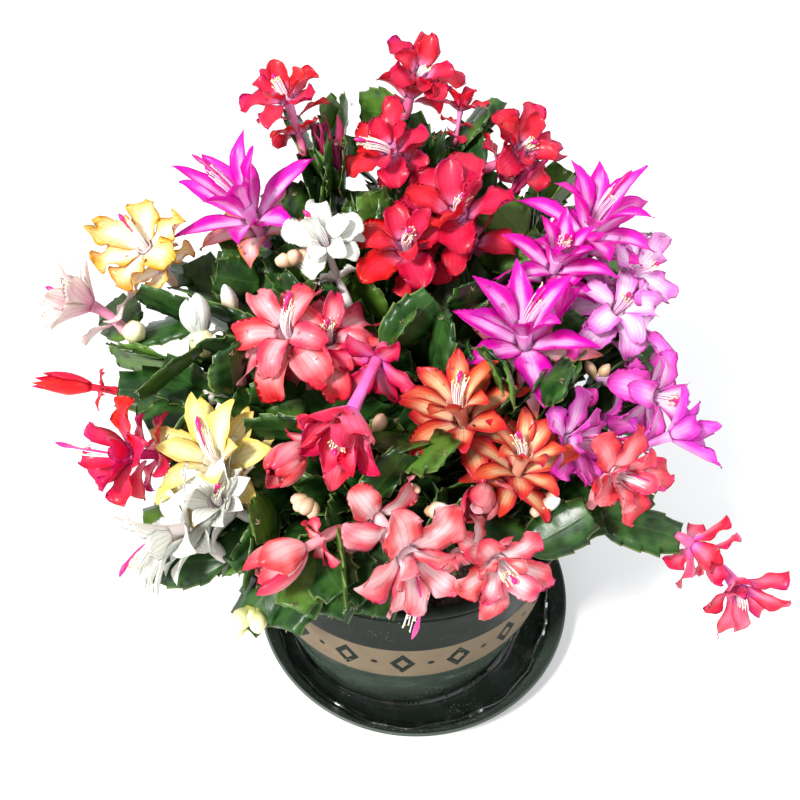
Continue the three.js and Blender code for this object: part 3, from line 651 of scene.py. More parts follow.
# %% Tree: scattered bits
scatter_tree, inside, out = tree_of(
    "scattered bits", ("Shape", "NodeSocketObject", None), ("Density", NUMBER, 1000.0),
    ("Smallest", NUMBER, 0.001), ("Largest", NUMBER, 0.002), ("Least slope", NUMBER, 0.5),
    ("Seed", WHOLE, 1))
t = scatter_tree
slope = node(t, "ShaderNodeSeparateXYZ", {0: node(t, "GeometryNodeInputNormal").outputs[0]}).outputs[2]
level = node(t, "FunctionNodeCompare", {0: slope, 1: inside["Least slope"]},
             operation="GREATER_THAN").outputs[0]
strewn = node(t, "GeometryNodeDistributePointsOnFaces", {
    "Mesh": inside["Geometry"], "Selection": level, "Density": inside["Density"], "Seed": inside["Seed"]})
bit = node(t, "GeometryNodeObjectInfo", {"Object": inside["Shape"]}).outputs["Geometry"]
scale = node(t, "FunctionNodeRandomValue", {2: inside["Smallest"], 3: inside["Largest"],
                                            "Seed": inside["Seed"]}, data_type="FLOAT").outputs[1]
bits = node(t, "GeometryNodeInstanceOnPoints", {
    "Points": strewn.outputs["Points"], "Instance": bit, "Rotation": strewn.outputs["Rotation"],
    "Scale": scale}).outputs[0]
finish_tree(t, bits, inside, out)
print("trees:", placed_tree.name, "/", thread_tree.name, "/", scatter_tree.name)


# %% From points and trees to plain meshes
def marked_mesh(name, points, edges=(), faces=(), marks=None):
    """A mesh in metres whose points carry named marks: numbers, whole numbers, vectors or turns."""
    mesh = bpy.data.meshes.new(name)
    mesh.from_pydata(np.asarray(points, float).tolist(), list(edges), list(faces))
    for label, (kind, values) in (marks or {}).items():
        layer = mesh.attributes.new(label, kind, "POINT")
        field = "vector" if kind == "FLOAT_VECTOR" else "value"
        layer.data.foreach_set(field, np.asarray(values).ravel())
    return mesh


def keep_used_finishes(mesh):
    """Drops the material slots that no face uses, such as the empty one of a base mesh."""
    picks = np.empty(len(mesh.polygons), dtype=np.int32)
    mesh.polygons.foreach_get("material_index", picks)
    used, picks = np.unique(picks, return_inverse=True)
    kept = [mesh.materials[int(i)] for i in used]
    mesh.materials.clear()
    for finish in kept:
        mesh.materials.append(finish)
    mesh.polygons.foreach_set("material_index", picks.astype(np.int32))
    return mesh


def made_plain(name, base, tree, **inputs):
    """Runs one tree on a mesh and keeps the result as a plain mesh object."""
    made = new_object(name, base)
    modifier = made.modifiers.new("tree", "NODES")
    modifier.node_group = tree
    sockets = {item.name: item.identifier for item in tree.interface.items_tree if item.in_out == "INPUT"}
    for label, value in inputs.items():
        modifier[sockets[label.replace("_", " ")]] = value
    graph = bpy.context.evaluated_depsgraph_get()
    mesh = bpy.data.meshes.new_from_object(made.evaluated_get(graph))
    made.modifiers.remove(modifier)
    made.data = keep_used_finishes(mesh)
    return made


def joined(name, parts):
    """Joins objects into the first one, and names it."""
    if len(parts) > 1:
        with bpy.context.temp_override(active_object=parts[0], object=parts[0],
                                       selected_objects=parts, selected_editable_objects=parts):
            bpy.ops.object.join()
    parts[0].name = parts[0].data.name = name
    return parts[0]


def pattern_box(name, meshes):
    """A collection of pattern shapes. The placed shapes tree picks them in the order of their names."""
    box = bpy.data.collections.new(name)
    for index, mesh in enumerate(meshes):
        box.objects.link(bpy.data.objects.new(f"{name}_{index}", mesh))
    return box


def turn_of(across, along, facing):
    """The turn, as a quaternion, that carries X, Y and Z to three square directions."""
    return tuple(Matrix((across, along, facing)).transposed().to_quaternion())


def square_to(along, facing):
    """The across and facing directions that are square to a direction."""
    along = unit(along)
    facing = np.asarray(facing, float) - along * (along @ facing)
    facing = unit(facing) if np.linalg.norm(facing) > 1e-6 else unit(np.cross(along, (1, 0.2, 0.1)))
    return np.cross(along, facing), along, facing


def turned_about(vector, axis, angle):
    axis = unit(axis)
    return (vector * math.cos(angle) + np.cross(axis, vector) * math.sin(angle)
            + axis * (axis @ vector) * (1 - math.cos(angle)))


def place_shapes(name, rows, box, finish, sway, seed):
    """rows: (point in mm, turn, size in mm, pick, seed mark)."""
    points, turns, sizes, picks, seeds = zip(*rows)
    marks = {"turn": ("QUATERNION", turns), "size": ("FLOAT_VECTOR", np.array(sizes, float) * MM),
             "pick": ("INT", picks), "seed": ("FLOAT", seeds)}
    base = marked_mesh(name, np.array(points, float) * MM, marks=marks)
    return made_plain(name, base, placed_tree, Shapes=box, Sway=sway, Seed=seed, Material=finish)


def make_threads(name, paths, finish, sides):
    """paths: (points in mm, radii in mm, seed mark)."""
    points, edges, radii, alongs, seeds = [], [], [], [], []
    for line, thick, seed in paths:
        start = len(points)
        points += [tuple(p) for p in line]
        edges += [(start + i, start + i + 1) for i in range(len(line) - 1)]
        radii += list(thick)
        alongs += list(np.linspace(0, 1, len(line)))
        seeds += [seed] * len(line)
    marks = {"thick": ("FLOAT", np.array(radii) * MM), "along": ("FLOAT", alongs),
             "seed": ("FLOAT", seeds)}
    base = marked_mesh(name, np.array(points) * MM, edges, marks=marks)
    return made_plain(name, base, thread_tree, Sides=sides, Material=finish)


# %% [markdown]
# ## Patterns: stem segment, bristle tuft, crumb, bud and drop
#
# A stem segment is a flat paddle, narrow at its foot, with three forward teeth on each side and two
# horns at its square end. Five variants, bent and cupped a little differently, keep the
# plant from looking stamped. Each is only a hundred or so faces, because there are hundreds of them.

# %% Segment patterns
# Along the segment from 0 to 1, half width, and how far the edge leans forward there.
SEGMENT_OUTLINE = [
    (0.0, 0.2, 0.0), (0.05, 0.36, 0.0), (0.13, 0.62, 0.0), (0.22, 0.82, 0.0), (0.3, 0.98, 0.035),
    (0.345, 0.9, 0.0), (0.44, 1.02, 0.0), (0.53, 1.11, 0.04), (0.575, 0.98, 0.0), (0.66, 1.0, 0.0),
    (0.75, 1.02, 0.045), (0.795, 0.86, 0.0), (0.88, 0.78, 0.0), (0.955, 0.7, 0.06), (0.98, 0.48, 0.02),
    (1.0, 0.3, 0.0)]
LANES = np.array([-1.0, -0.52, 0.0, 0.52, 1.0])
SEGMENT_SHAPES = 5


def segment_pattern(index):
    """One stem segment: 1 long, 2 wide and 2 thick, from the origin along +Y, with +Z outwards."""
    draw = np.random.default_rng(40 + index)
    bend, cup, bias = draw.uniform(-1.6, 3.2), draw.uniform(-1.2, 1.6), draw.uniform(-0.06, 0.06)
    rows = len(SEGMENT_OUTLINE)
    upper, lower, across, along = [], [], [], []
    for i, (y, half, lean) in enumerate(SEGMENT_OUTLINE):
        body = 0.55 + 0.5 * math.sin(math.pi * min(1.0, y + 0.12))
        wave = draw.uniform(-0.5, 0.5, 2)
        for lane in LANES:
            side = half * (1 + draw.uniform(-0.04, 0.04))
            x = lane * side + bias * math.sin(math.pi * y)
            run = y + lean * abs(lane) ** 3
            rim_wave = (wave[0] if lane < 0 else wave[1]) * abs(lane) ** 3
            middle = bend * y * y + cup * lane * lane + rim_wave
            height = {0.0: body, 1.0: 0.0}.get(abs(lane), body * 0.6)
            upper.append((x, run, middle + height))
            lower.append((x, run, middle - height * 0.8))
            across.append(lane)
            along.append(y)
    lanes = len(LANES)
    rim = [i * lanes + j for i in range(rows) for j in range(lanes)
           if i in (0, rows - 1) or j in (0, lanes - 1)]
    points, where = list(upper), {}
    for corner in range(rows * lanes):
        if corner in rim:
            where[corner] = corner
            if abs(LANES[corner % lanes]) < 1:     # the flat foot and the flat end close at the middle
                points[corner] = tuple((np.array(upper[corner]) + np.array(lower[corner])) / 2)
        else:
            where[corner] = len(points)
            points.append(lower[corner])
            across.append(across[corner])
            along.append(along[corner])
    faces = []
    for i in range(rows - 1):
        for j in range(lanes - 1):
            a = i * lanes + j
            quad = (a, a + 1, a + lanes + 1, a + lanes)
            faces += [quad, tuple(where[c] for c in reversed(quad))]
    return marked_mesh(f"segment_{index}", points, faces=faces,
                       marks={"across": ("FLOAT", across), "along": ("FLOAT", along)})


segments_box = pattern_box("segment", [segment_pattern(i) for i in range(SEGMENT_SHAPES)])


# %% Tuft, crumb, drop, anther and bud patterns
def turned_pattern(name, profile, sides, ribs=0.0):
    """A small closed solid of revolution along +Y from [radius, along] points. ribs pinches its sides."""
    longest = max(y for _, y in profile)
    rings = []
    for radius, y in profile:
        ring = []
        for i in range(sides if radius else 1):
            turn, pinch = 2 * math.pi * i / sides, 1 + ribs * (1 if i % 2 else -1)
            ring.append((radius * pinch * math.cos(turn), y, -radius * pinch * math.sin(turn)))
        rings.append(ring)
    points, faces = round_shell(rings, sides)
    marks = {"along": ("FLOAT", [y / longest for _, y, _ in points])}
    return marked_mesh(name, points, faces=faces, marks=marks)


def tuft_pattern():
    """A few stiff bristles that spread from one point."""
    draw = np.random.default_rng(7)
    points, faces, marks = [], [], []
    for _ in range(8):
        tip = np.array([draw.uniform(-0.7, 0.7), draw.uniform(0.3, 1.0), draw.uniform(-0.7, 0.7)])
        start = len(points)
        for i in range(3):
            turn = 2 * math.pi * i / 3
            x, z = 0.1 * math.cos(turn), -0.1 * math.sin(turn)
            points.append((x + tip[0] * 0.3, 0.0, z + tip[2] * 0.3))
        points.append(tuple(tip))
        marks += [0.0, 0.0, 0.0, 1.0]
        faces += [tuple(start + k for k in face) for face in ((0, 2, 1), (0, 1, 3), (1, 2, 3), (2, 0, 3))]
    return marked_mesh("tuft", points, faces=faces, marks={"along": ("FLOAT", marks)})


# Each pattern profile is a radius and a share of the way along.
BUD_PROFILE = [(0, 0), (0.2, 0.02), (0.3, 0.14), (0.29, 0.22), (0.42, 0.34), (0.5, 0.52), (0.43, 0.72),
               (0.26, 0.88), (0.1, 0.97), (0, 1)]
ROUND_PROFILE = [(0, 0), (0.3, 0.06), (0.46, 0.24), (0.5, 0.5), (0.44, 0.76), (0.24, 0.94), (0, 1)]
ANTHER_PROFILE = [(0, -0.5), (0.4, -0.2), (0.4, 0.25), (0, 0.5)]
DROP_PROFILE = [(0, -0.05), (0.46, -0.05), (0.5, 0.08), (0.42, 0.27), (0.24, 0.4), (0, 0.44)]
tuft_box = pattern_box("tuft", [tuft_pattern()])
bud_box = pattern_box("bud", [turned_pattern("bud_long", BUD_PROFILE, 10, 0.05),
                              turned_pattern("bud_round", ROUND_PROFILE, 10, 0.04)])
anther_box = pattern_box("anther", [turned_pattern("anther", ANTHER_PROFILE, 5)])


def crumb_pattern():
    """An uneven little lump, a little flattened."""
    made, draw = bmesh.new(), np.random.default_rng(3)
    bmesh.ops.create_icosphere(made, subdivisions=1, radius=0.5)
    for corner in made.verts:
        corner.co *= 1 + draw.uniform(-0.25, 0.25)
        corner.co.z *= 0.7
    mesh = bpy.data.meshes.new("crumb")
    made.to_mesh(mesh)
    made.free()
    return bpy.data.objects.new("crumb", mesh)


def drop_pattern():
    """A water drop: a dome that stands on Z, closed below."""
    mesh = turned_pattern("drop", DROP_PROFILE, 10)
    mesh.transform(Matrix.Rotation(math.pi / 2, 4, "X"))
    return bpy.data.objects.new("drop", mesh)


crumb_shape, drop_shape = crumb_pattern(), drop_pattern()
print("patterns: tuft, 2 buds, anther, crumb, drop")

# %% [markdown]
# ## Potting soil
#
# The soil is a low mound of dark, damp bark and peat. It fills the pot to a finger's width under
# the lip. A gently uneven turned shape carries a strewn layer of crumbs.

# %% Soil
soil_finish = coarse_finish("damp soil", 700.0, 2.2, (0.006, 0.004, 0.003), (0.045, 0.026, 0.014),
                            (0.6, 0.95), (0.3, 0.7), 1.0, 0.0015)
crumb_finish = coarse_finish("bark crumbs", 900.0, 2.0, (0.012, 0.008, 0.005), (0.1, 0.058, 0.03),
                             (0.6, 0.95), (0.3, 0.7), 1.0, 0.001)
SOIL_FACE = 120                   # millimetres: above this the soil is uneven


def uneven(radius, height, turn):
    if height < SOIL_FACE:
        return 0.0
    x, y = radius * math.cos(turn), radius * math.sin(turn)
    return 1.1 * math.sin(x * 0.11 + 1.3) * math.cos(y * 0.13) + 0.8 * math.sin(x * 0.31 - y * 0.27)


SOIL = [[0, 62], [84, 62], [85.4, 100], [86.6, 124], [85.6, 126.5]]
SOIL += [[r, 131 - r * r / 2400] for r in range(80, -1, -8)]     # the low mound
soil = lathe("soil_bed", SOIL, 72, soil_finish, wobble=uneven)
crumbs = made_plain("crumbs", soil.data.copy(), scatter_tree, Shape=crumb_shape, Density=62000.0,
                    Smallest=0.0012, Largest=0.0042, Least_slope=0.5, Seed=11, Material=crumb_finish)
soil = joined("potting_soil", [soil, crumbs])
print("soil faces:", len(soil.data.polygons))


# %% [markdown]
# ## The plan of the plant
#
# The plan is the same one that the solid model was built from, so the limbs follow their solids. A
# branch has a root on the soil, a fork at the top of its woody foot, and limbs. A limb is the points
# that its curve goes through. It starts at the fork, unless its first entry is a pair: then it starts
# on that limb, at that joint of it.

# %% Branch plan
BRANCHES = {
    "left_high": ((-34, 22), (-50, 34, 170), [
        [(-88, 50, 206), (-126, 60, 217)], [(0, 1), (-118, 40, 212), (-147, 34, 204)],
        [(-84, 28, 200), (-105, 13, 216)], [(0, 1), (-110, 66, 196), (-124, 76, 178)]]),
    "left_mid": ((-42, 6), (-58, 8, 166), [
        [(-102, 8, 186), (-148, 6, 191)], [(0, 1), (-114, -31, 184)], [(-87, -6, 204)],
        [(0, 1), (-128, 22, 200), (-154, 21, 205)]]),
    "left_low": ((-42, -16), (-58, -24, 154), [
        [(-84, -28, 172)], [(-66, -52, 172), (-85, -77, 167)], [(-60, -48, 182), (-70, -62, 178)],
        [(-97, -11, 190)], [(-80, -48, 160), (-94, -66, 142)]]),
    "upper_left": ((-24, 34), (-40, 52, 176), [
        [(-62, 72, 212), (-78, 81, 229)], [(-46, 78, 226), (-58, 102, 272)],
        [(-60, 94, 204), (-84, 112, 196)], [(-56, 44, 212), (-61, 49, 243)], [(1, 1), (-44, 96, 252)]]),
    "front_left": ((-24, -36), (-30, -40, 160), [
        [(-36, -38, 182), (-43, -27, 204)], [(-34, -60, 182), (-31, -74, 190)],
        [(-56, -82, 174), (-74, -100, 150)], [(-46, -56, 185)], [(-44, -84, 172), (-53, -108, 160)],
        [(-28, -76, 168), (-34, -102, 162)]]),
    "front": ((-6, -42), (-10, -46, 158), [
        [(-20, -57, 188)], [(-10, -76, 172), (-14, -100, 160)], [(0, -50, 190)]]),
    "front_right": ((20, -38), (22, -48, 156), [
        [(21, -80, 181)], [(41, -36, 186)], [(10, -60, 186)], [(56, -70, 172)]]),
    "centre": ((-20, 2), (-32, 2, 166), [
        [(-51, 5, 199)], [(-29, 13, 200)], [(-38, -26, 190)], [(-16, -18, 192)]]),
    "centre_drop": ((-4, 4), (-6, 6, 172), [
        [(-13, 9, 226)], [(-4, -28, 194)], [(12, 2, 206)]]),
    "centre_white": ((-14, 20), (-20, 28, 176), [
        [(-30, 32, 226)], [(-48, 34, 216)], [(-6, 28, 220)]]),
    "top_left": ((-10, 40), (-18, 66, 186), [
        [(-26, 84, 222), (-38, 98, 251)], [(-8, 86, 226), (-2, 104, 262)], [(-16, 70, 238)]]),
    "top": ((2, 48), (6, 78, 196), [
        [(6, 108, 240), (-6, 130, 278)], [(0, 1), (22, 126, 262)], [(-6, 112, 222), (-22, 138, 232)]]),
    "top_right": ((20, 44), (26, 68, 188), [
        [(30, 88, 226), (36, 106, 262)], [(52, 96, 210), (78, 112, 204)], [(0, 1), (50, 90, 256)]]),
    "red_heart": ((6, 26), (12, 44, 178), [
        [(18, 64, 223)], [(28, 60, 206), (36, 76, 231)], [(30, 42, 220)]]),
    "right_top": ((34, 30), (54, 44, 182), [
        [(70, 54, 223)], [(80, 58, 208), (88, 69, 231)], [(58, 64, 214), (64, 82, 240)],
        [(84, 78, 196), (106, 88, 186)]]),
    "right_upper": ((24, 12), (42, 18, 164), [
        [(61, 22, 198)], [(38, 6, 204)], [(68, 12, 188), (82, 14, 216)]]),
    "orange": ((12, -12), (20, -14, 152), [
        [(32, -19, 183)], [(49, -44, 175)], [(40, -8, 176), (49, -10, 204)]]),
    "right": ((44, 18), (66, 36, 176), [
        [(98, 62, 217)], [(89, 32, 202)], [(100, 48, 188), (126, 56, 178)]]),
    "right_mid": ((46, 0), (66, 8, 168), [
        [(96, 15, 201)], [(92, -8, 184), (108, -20, 183)], [(84, -8, 204)],
        [(104, 18, 178), (130, 16, 170)]]),
    "right_low": ((40, -18), (56, -27, 154), [
        [(71, -33, 179)], [(88, -49, 177)], [(62, -54, 182)]]),
    "trailing": ((34, -34), (58, -48, 156), [
        [(104, -46, 162), (133, -56, 164)]]),
    "back": ((2, 64), (-4, 92, 182), [
        [(-12, 142, 204)], [(28, 126, 204), (38, 150, 186)], [(-38, 124, 196), (-52, 146, 174)]]),
}
print("branches:", len(BRANCHES))

# %% [markdown]
# ## Bloom plan
#
# Each bloom is one row: its petal finish, the way it opens, its size, where its foot and its mouth
# are, where its threads aim and how far they reach. A reach of 0 means a bloom without threads.
# The aim is worth a number of its own: the long magenta style is what the eye follows on this plant.

# %% Blooms
BLOOMS = {
    "magenta_left": ("magenta", "star", 1.08, (-78, 81, 229), (-87, 76, 259), (-0.75, 0.35, 0.6), 34),
    "magenta_heart": ("magenta", "star", 1.1, (61, 22, 198), (54, 15, 234), (0.45, 0.3, 0.8), 30),
    "magenta_right": ("magenta", "star", 1.0, (88, 69, 231), (90, 66, 260), (0.5, 0.3, 0.75), 30),
    "magenta_small": ("magenta", "star", 0.8, (70, 54, 223), (72, 48, 252), (0.1, -0.2, 1), 16),
    "orange_high": ("orange", "lotus", 1.05, (32, -19, 183), (22, -20, 218), (0.1, 0.5, 0.8), 15),
    "orange_low": ("orange", "lotus", 0.9, (49, -44, 175), (53, -42, 208), (-0.3, 0.2, 0.8), 13),
    "coral_left": ("coral", "mop", 1.0, (-51, 5, 199), (-61, 10, 232), (0.15, 0.4, 0.8), 20),
    "coral_twin": ("coral", "mop", 0.85, (-29, 13, 200), (-40, 11, 227), (0, 0.2, 1), 12),
    "red_drooping": ("crimson", "drooping", 1.0, (-13, 9, 226), (-30, -44, 224), (-0.2, -1, -0.1), 14),
    "coral_bell": ("coral", "bell", 0.8, (-43, -27, 204), (-58, -56, 209), (-0.4, -0.8, 0), 0),
    "coral_low_bell": ("coral", "bell", 0.9, (-31, -74, 190), (-62, -98, 192), (-0.8, -0.5, 0), 0),
    "salmon_front": ("salmon", "tiered", 1.08, (-20, -57, 188), (2, -94, 197), (0.03, -0.45, -0.9), 40),
    "salmon_right": ("salmon", "tiered", 0.88, (21, -80, 181), (40, -90, 190), (0.5, -0.6, -0.1), 12),
    "coral_small": ("coral", "bell", 0.7, (41, -36, 186), (32, -63, 193), (-0.2, -0.9, 0), 0),
    "red_high_left": ("red", "tiered", 0.8, (-58, 102, 272), (-67, 115, 297), (-0.5, 0.3, 0.8), 12),
    "red_left": ("red", "tiered", 0.85, (-2, 104, 262), (-13, 98, 278), (-0.9, -0.2, 0.4), 20),
    "red_top": ("red", "tiered", 0.9, (-6, 130, 278), (2, 143, 297), (0.6, 0.5, 0.3), 8),
    "red_high_right": ("red", "tiered", 0.9, (36, 106, 262), (55, 105, 276), (0.7, -0.2, 0.6), 10),
    "red_heart": ("red", "tiered", 1.0, (18, 64, 223), (-4, 54, 252), (0.2, -0.3, 0.9), 14),
    "red_heart_right": ("red", "tiered", 1.15, (36, 76, 231), (21, 67, 263), (0.3, -0.2, 0.9), 15),
    "gold": ("gold", "frilled", 0.84, (-126, 60, 217), (-138, 60, 243), (-0.5, 0.3, 0.7), 19),
    "cream": ("cream", "lotus", 1.12, (-84, -28, 172), (-93, -38, 193), (-0.3, 0.5, 0.7), 22),
    "white_low": ("white", "lotus", 1.0, (-85, -77, 167), (-110, -76, 184), (-0.7, -0.75, -0.2), 26),
    "white_cream": ("white", "lotus", 0.9, (-70, -62, 178), (-88, -60, 190), (0.2, 0.1, 0.9), 12),
    "white_heart": ("white", "tiered", 0.78, (-30, 32, 226), (-43, 48, 258), (-0.5, 0.2, 0.7), 18),
    "white_left": ("blush white", "cup", 0.95, (-147, 34, 204), (-169, 40, 221), (-0.9, 0.2, 0.3), 20),
    "scarlet_left": ("scarlet", "spire", 0.72, (-148, 6, 191), (-170, 2, 200), (-1, 0, 0.4), 0),
    "scarlet_low": ("wine red", "tiered", 0.92, (-114, -31, 184), (-134, -38, 195), (-1, 0.1, 0.1), 34),
    "lilac_high": ("lilac", "frilled", 0.8, (98, 62, 217), (118, 63, 231), (0.8, 0, 0.5), 12),
    "lilac_mid": ("lilac", "mop", 0.85, (89, 32, 202), (105, 39, 226), (0.3, 0, 0.9), 12),
    "pink_right": ("pink", "mop", 0.9, (96, 15, 201), (124, 2, 201), (1, -0.2, 0), 12),
    "purple_right": ("purple", "cup", 0.8, (108, -20, 183), (133, -17, 196), (1, 0, 0.2), 0),
    "lilac_low": ("pink", "tiered", 0.85, (71, -33, 179), (77, -30, 202), (1, -0.1, 0.15), 30),
    "coral_right": ("coral", "tiered", 0.92, (88, -49, 177), (98, -46, 198), (0.95, -0.3, -0.1), 22),
    "crimson_trailing": ("crimson", "double", 0.9, (133, -56, 164), (159, -80, 155),
                         (0.3, -0.6, -0.8), 16),
}
# Blooms whose tube bends: the direction in which the open flower looks.
FACES = {
    "magenta_left": (-0.28, -0.15, 0.9), "coral_left": (-0.2, -0.5, 0.8),
    "coral_twin": (0.1, -0.5, 0.8), "red_top": (0.25, -0.5, 0.7), "red_high_left": (-0.3, -0.2, 0.9),
    "red_high_right": (0.35, -0.5, 0.75), "red_left": (-0.4, -0.35, 0.65),
    "white_low": (-0.6, -0.7, 0.1), "white_cream": (0.1, -0.4, 0.9), "white_heart": (0.1, -0.6, 0.65),
    "white_left": (-0.75, -0.2, 0.5), "gold": (-0.25, -0.35, 0.9), "cream": (-0.2, -0.25, 0.9),
    "lilac_high": (0.6, -0.4, 0.6), "lilac_mid": (0.1, -0.5, 0.85), "pink_right": (0.5, -0.6, 0.5),
    "lilac_low": (0.7, -0.5, 0.4), "coral_right": (0.4, -0.7, 0.5),
    "crimson_trailing": (0.1, -0.85, 0.2), "salmon_right": (0.15, -0.85, 0.25),
    "red_heart": (-0.1, -0.3, 0.9), "scarlet_low": (-0.6, -0.5, 0.5),
}
TWO_TONED = ("magenta_left", "magenta_heart")     # their lowest petals fade to orange
SLOTS = {"magenta": ["magenta"], "orange": ["orange"], "coral": ["coral", "salmon"],
         "red": ["red", "scarlet", "crimson", "wine red"], "yellow": ["gold", "cream"],
         "white": ["white", "blush white"], "lilac": ["lilac", "pink", "purple"]}
SLOT_OF = {finish: f"petal_{slot}" for slot, finishes in SLOTS.items() for finish in finishes}
SLOT_BY_NAME = {"crimson_trailing": "petal_coral"}
PINK_THREADED = ("magenta", "lilac", "pink", "purple")    # the other finishes have white threads

# Where each bunch sits, which way it points, and its buds. Each bud is its lean to the side, length,
# width, and 0 for the long pattern or 1 for the round one.
BUNCHES = {
    "peach": [
        ((-46, -56, 185), (-0.5, -0.7, 0.1), [(-0.9, 9, 7, 1), (-0.3, 11, 7.5, 1),
            (0.3, 10, 7, 1), (0.9, 9, 6.5, 1)]),
        ((-61, 49, 243), (0.1, -0.3, 1), [(-0.8, 12, 7, 1), (-0.2, 13, 7.5, 1),
            (0.5, 12, 7, 1), (1.0, 9, 6, 1)]),
        ((-48, 34, 216), (0.2, -0.4, 0.9), [(-0.5, 10, 7, 1), (0.4, 11, 8, 1)]),
        ((62, -54, 182), (0.4, -0.3, 0.8), [(-0.5, 13, 7, 0), (0.4, 9, 6, 1), (0.9, 8, 5.5, 1)]),
        ((0, -50, 190), (0.5, -0.5, 0.5), [(0.0, 11, 6, 0), (0.8, 8, 5, 1)]),
        ((-16, -18, 192), (0.2, 0.2, 1), [(0.0, 13, 8, 0)]),
        ((96, 15, 201), (0, 0.5, 1), [(-0.6, 11, 6, 0), (0.5, 10, 6, 0)]),
        ((98, 62, 217), (-0.3, 0.2, 1), [(0.2, 11, 6, 1)]),
    ],
    "white": [
        ((-94, 48, 206), (0.1, 0, 1), [(0.0, 24, 9, 0)]),
        ((-101, 8, 186), (-0.6, -0.2, 0.8), [(-0.4, 10, 7, 1), (0.5, 9, 6, 1)]),
        ((10, -60, 186), (0.6, -0.4, 0.5), [(0.1, 20, 9, 0)]),
        ((62, -54, 182), (0.7, 0.2, 0.9), [(0.2, 14, 8, 0)]),
    ],
    "cream": [
        ((-147, 34, 204), (0.4, -0.3, 0.8), [(0.0, 20, 12, 0)]),
        ((-124, 76, 178), (-0.1, -0.2, 1), [(0.3, 18, 10, 0)]),
        ((-70, -97, 156), (-0.2, -0.8, 0.1), [(-0.6, 13, 9, 0), (0.5, 14, 10, 0), (0.0, 9, 6, 1)]),
        ((-74, -100, 150), (0.1, -0.6, -0.5), [(-0.5, 10, 7, 1), (0.6, 9, 6, 1)]),
        ((-105, 20, 206), (-0.1, 0.25, 0.9), [(0.0, 16, 13, 1)]),
        ((-94, -66, 142), (-0.6, -0.4, -0.3), [(-0.3, 10, 5, 0), (0.6, 8, 5, 1)]),
    ],
    "magenta": [
        ((84, -8, 204), (0.4, 0.2, 0.9), [(0.0, 13, 9, 0)]),
        ((82, 14, 216), (-0.5, -0.3, 0.8), [(0.0, 10, 7, 1)]),
        ((47, 92, 208), (0.3, -0.2, 0.9), [(-0.5, 12, 6, 0), (0.4, 11, 5, 0)]),
        ((108, -20, 183), (-0.5, -0.2, 0.8), [(0.3, 11, 6, 0)]),
    ],
}
print("blooms:", len(BLOOMS))


# %% [markdown]
# ## Growing the branches
#
# The limbs follow smooth curves through the plan's points, cut into segments of about 38 mm. Then
# the real plant's habit is added: up to five shoots are tried from the end of a segment, fanned out
# in its plane, and half of them go on into one more. A seeded draw picks the angles. A shoot that
# would leave the plant's space, hang in front of the pot, run into a bloom, or hide a bloom or a
# bunch of buds from the eye isn't grown.

# %% Curves and growth
HEART = np.array([0.0, 10.0, 110.0])
SEGMENT_STEP = 38.0
SEGMENT_WIDTH, SEGMENT_THICK = 26.0, 3.4
ROLLS = [14, -26, 32, -12, 22]      # degrees, taken in turn, so that the segments don't lie alike
WOOD_FOOT = 120.0                   # height of a branch's lowest point, inside the soil
LIP_RADIUS, LIP_TOP = 92.0, 150.0   # of the pot
LIP_NEAR, LIP_ABOVE = 12, 14        # a segment this near the lip lies flat over it
SMALLEST_GAP = 1e-4                 # between two of a curve's knots
# Degrees from the segment that each new shoot is tried at.
FORK_FAN, BLOOM_FAN, END_FAN = (58, -58, 96, -96, 24), (62, -62), (36, -40, 4)
AT_BLOOM = 6                        # a segment that ends this near a bloom's foot carries the bloom


def smooth_curve(points, steps=200):
    """A centripetal curve through points, and the length along it at each of its fine steps."""
    p = [np.asarray(q, float) for q in points]
    p = [2 * p[0] - p[1]] + p + [2 * p[-1] - p[-2]]
    t = np.linspace(0, 1, steps + 1)[:, None]
    fine = []
    for before, here, on, after in zip(p, p[1:], p[2:], p[3:]):
        ends = ((before, here), (here, on), (on, after))
        gaps = [max(np.sum((far - near) ** 2) ** 0.25, SMALLEST_GAP) for near, far in ends]
        a = (here - before) / gaps[0] - (on - before) / (gaps[0] + gaps[1]) + (on - here) / gaps[1]
        b = (on - here) / gaps[1] - (after - here) / (gaps[1] + gaps[2]) + (after - on) / gaps[2]
        a, b = a * gaps[1], b * gaps[1]
        fine.append(here + a * t + (-3 * here + 3 * on - 2 * a - b) * t ** 2
                    + (2 * here - 2 * on + a + b) * t ** 3)
    line = np.concatenate([fine[0]] + [f[1:] for f in fine[1:]])
    return line, np.concatenate([[0], np.cumsum(np.linalg.norm(np.diff(line, axis=0), axis=1))])


def joints_of(points):
    line, run = smooth_curve(points)
    count = max(1, round(run[-1] / SEGMENT_STEP))
    stops = np.linspace(0, run[-1], count + 1)
    return [np.array([np.interp(s, run, line[:, k]) for k in range(3)]) for s in stops]


MOUTHS = {name: np.array(row[4], float) for name, row in BLOOMS.items()}
FEET = {name: np.array(row[3], float) for name, row in BLOOMS.items()}
BUD_PLACES = [np.array(base, float) for bunches in BUNCHES.values() for base, _, _ in bunches]
ROOM_LOW, ROOM_HIGH = np.array([-174.0, -108.0, 118.0]), np.array([170.0, 156.0, 296.0])
FAR = 999
# Boxes with no shoot's tip in them, from a low corner to a high one. In order: before the pot, two
# at the right front, low at the front, low at the far left, and far right behind.
KEPT_FREE = [((-40, -FAR, -FAR), (FAR, -66, 172)), ((60, -FAR, -FAR), (FAR, -60, FAR)),
             ((66, -FAR, -FAR), (FAR, -30, 178)), ((-FAR, -FAR, -FAR), (FAR, -84, 142)),
             ((-FAR, -FAR, -FAR), (-136, -20, 190)), ((140, 0, -FAR), (FAR, FAR, FAR))]
POT_CLEAR = (70, 152)                 # outside this radius a shoot stays above this height
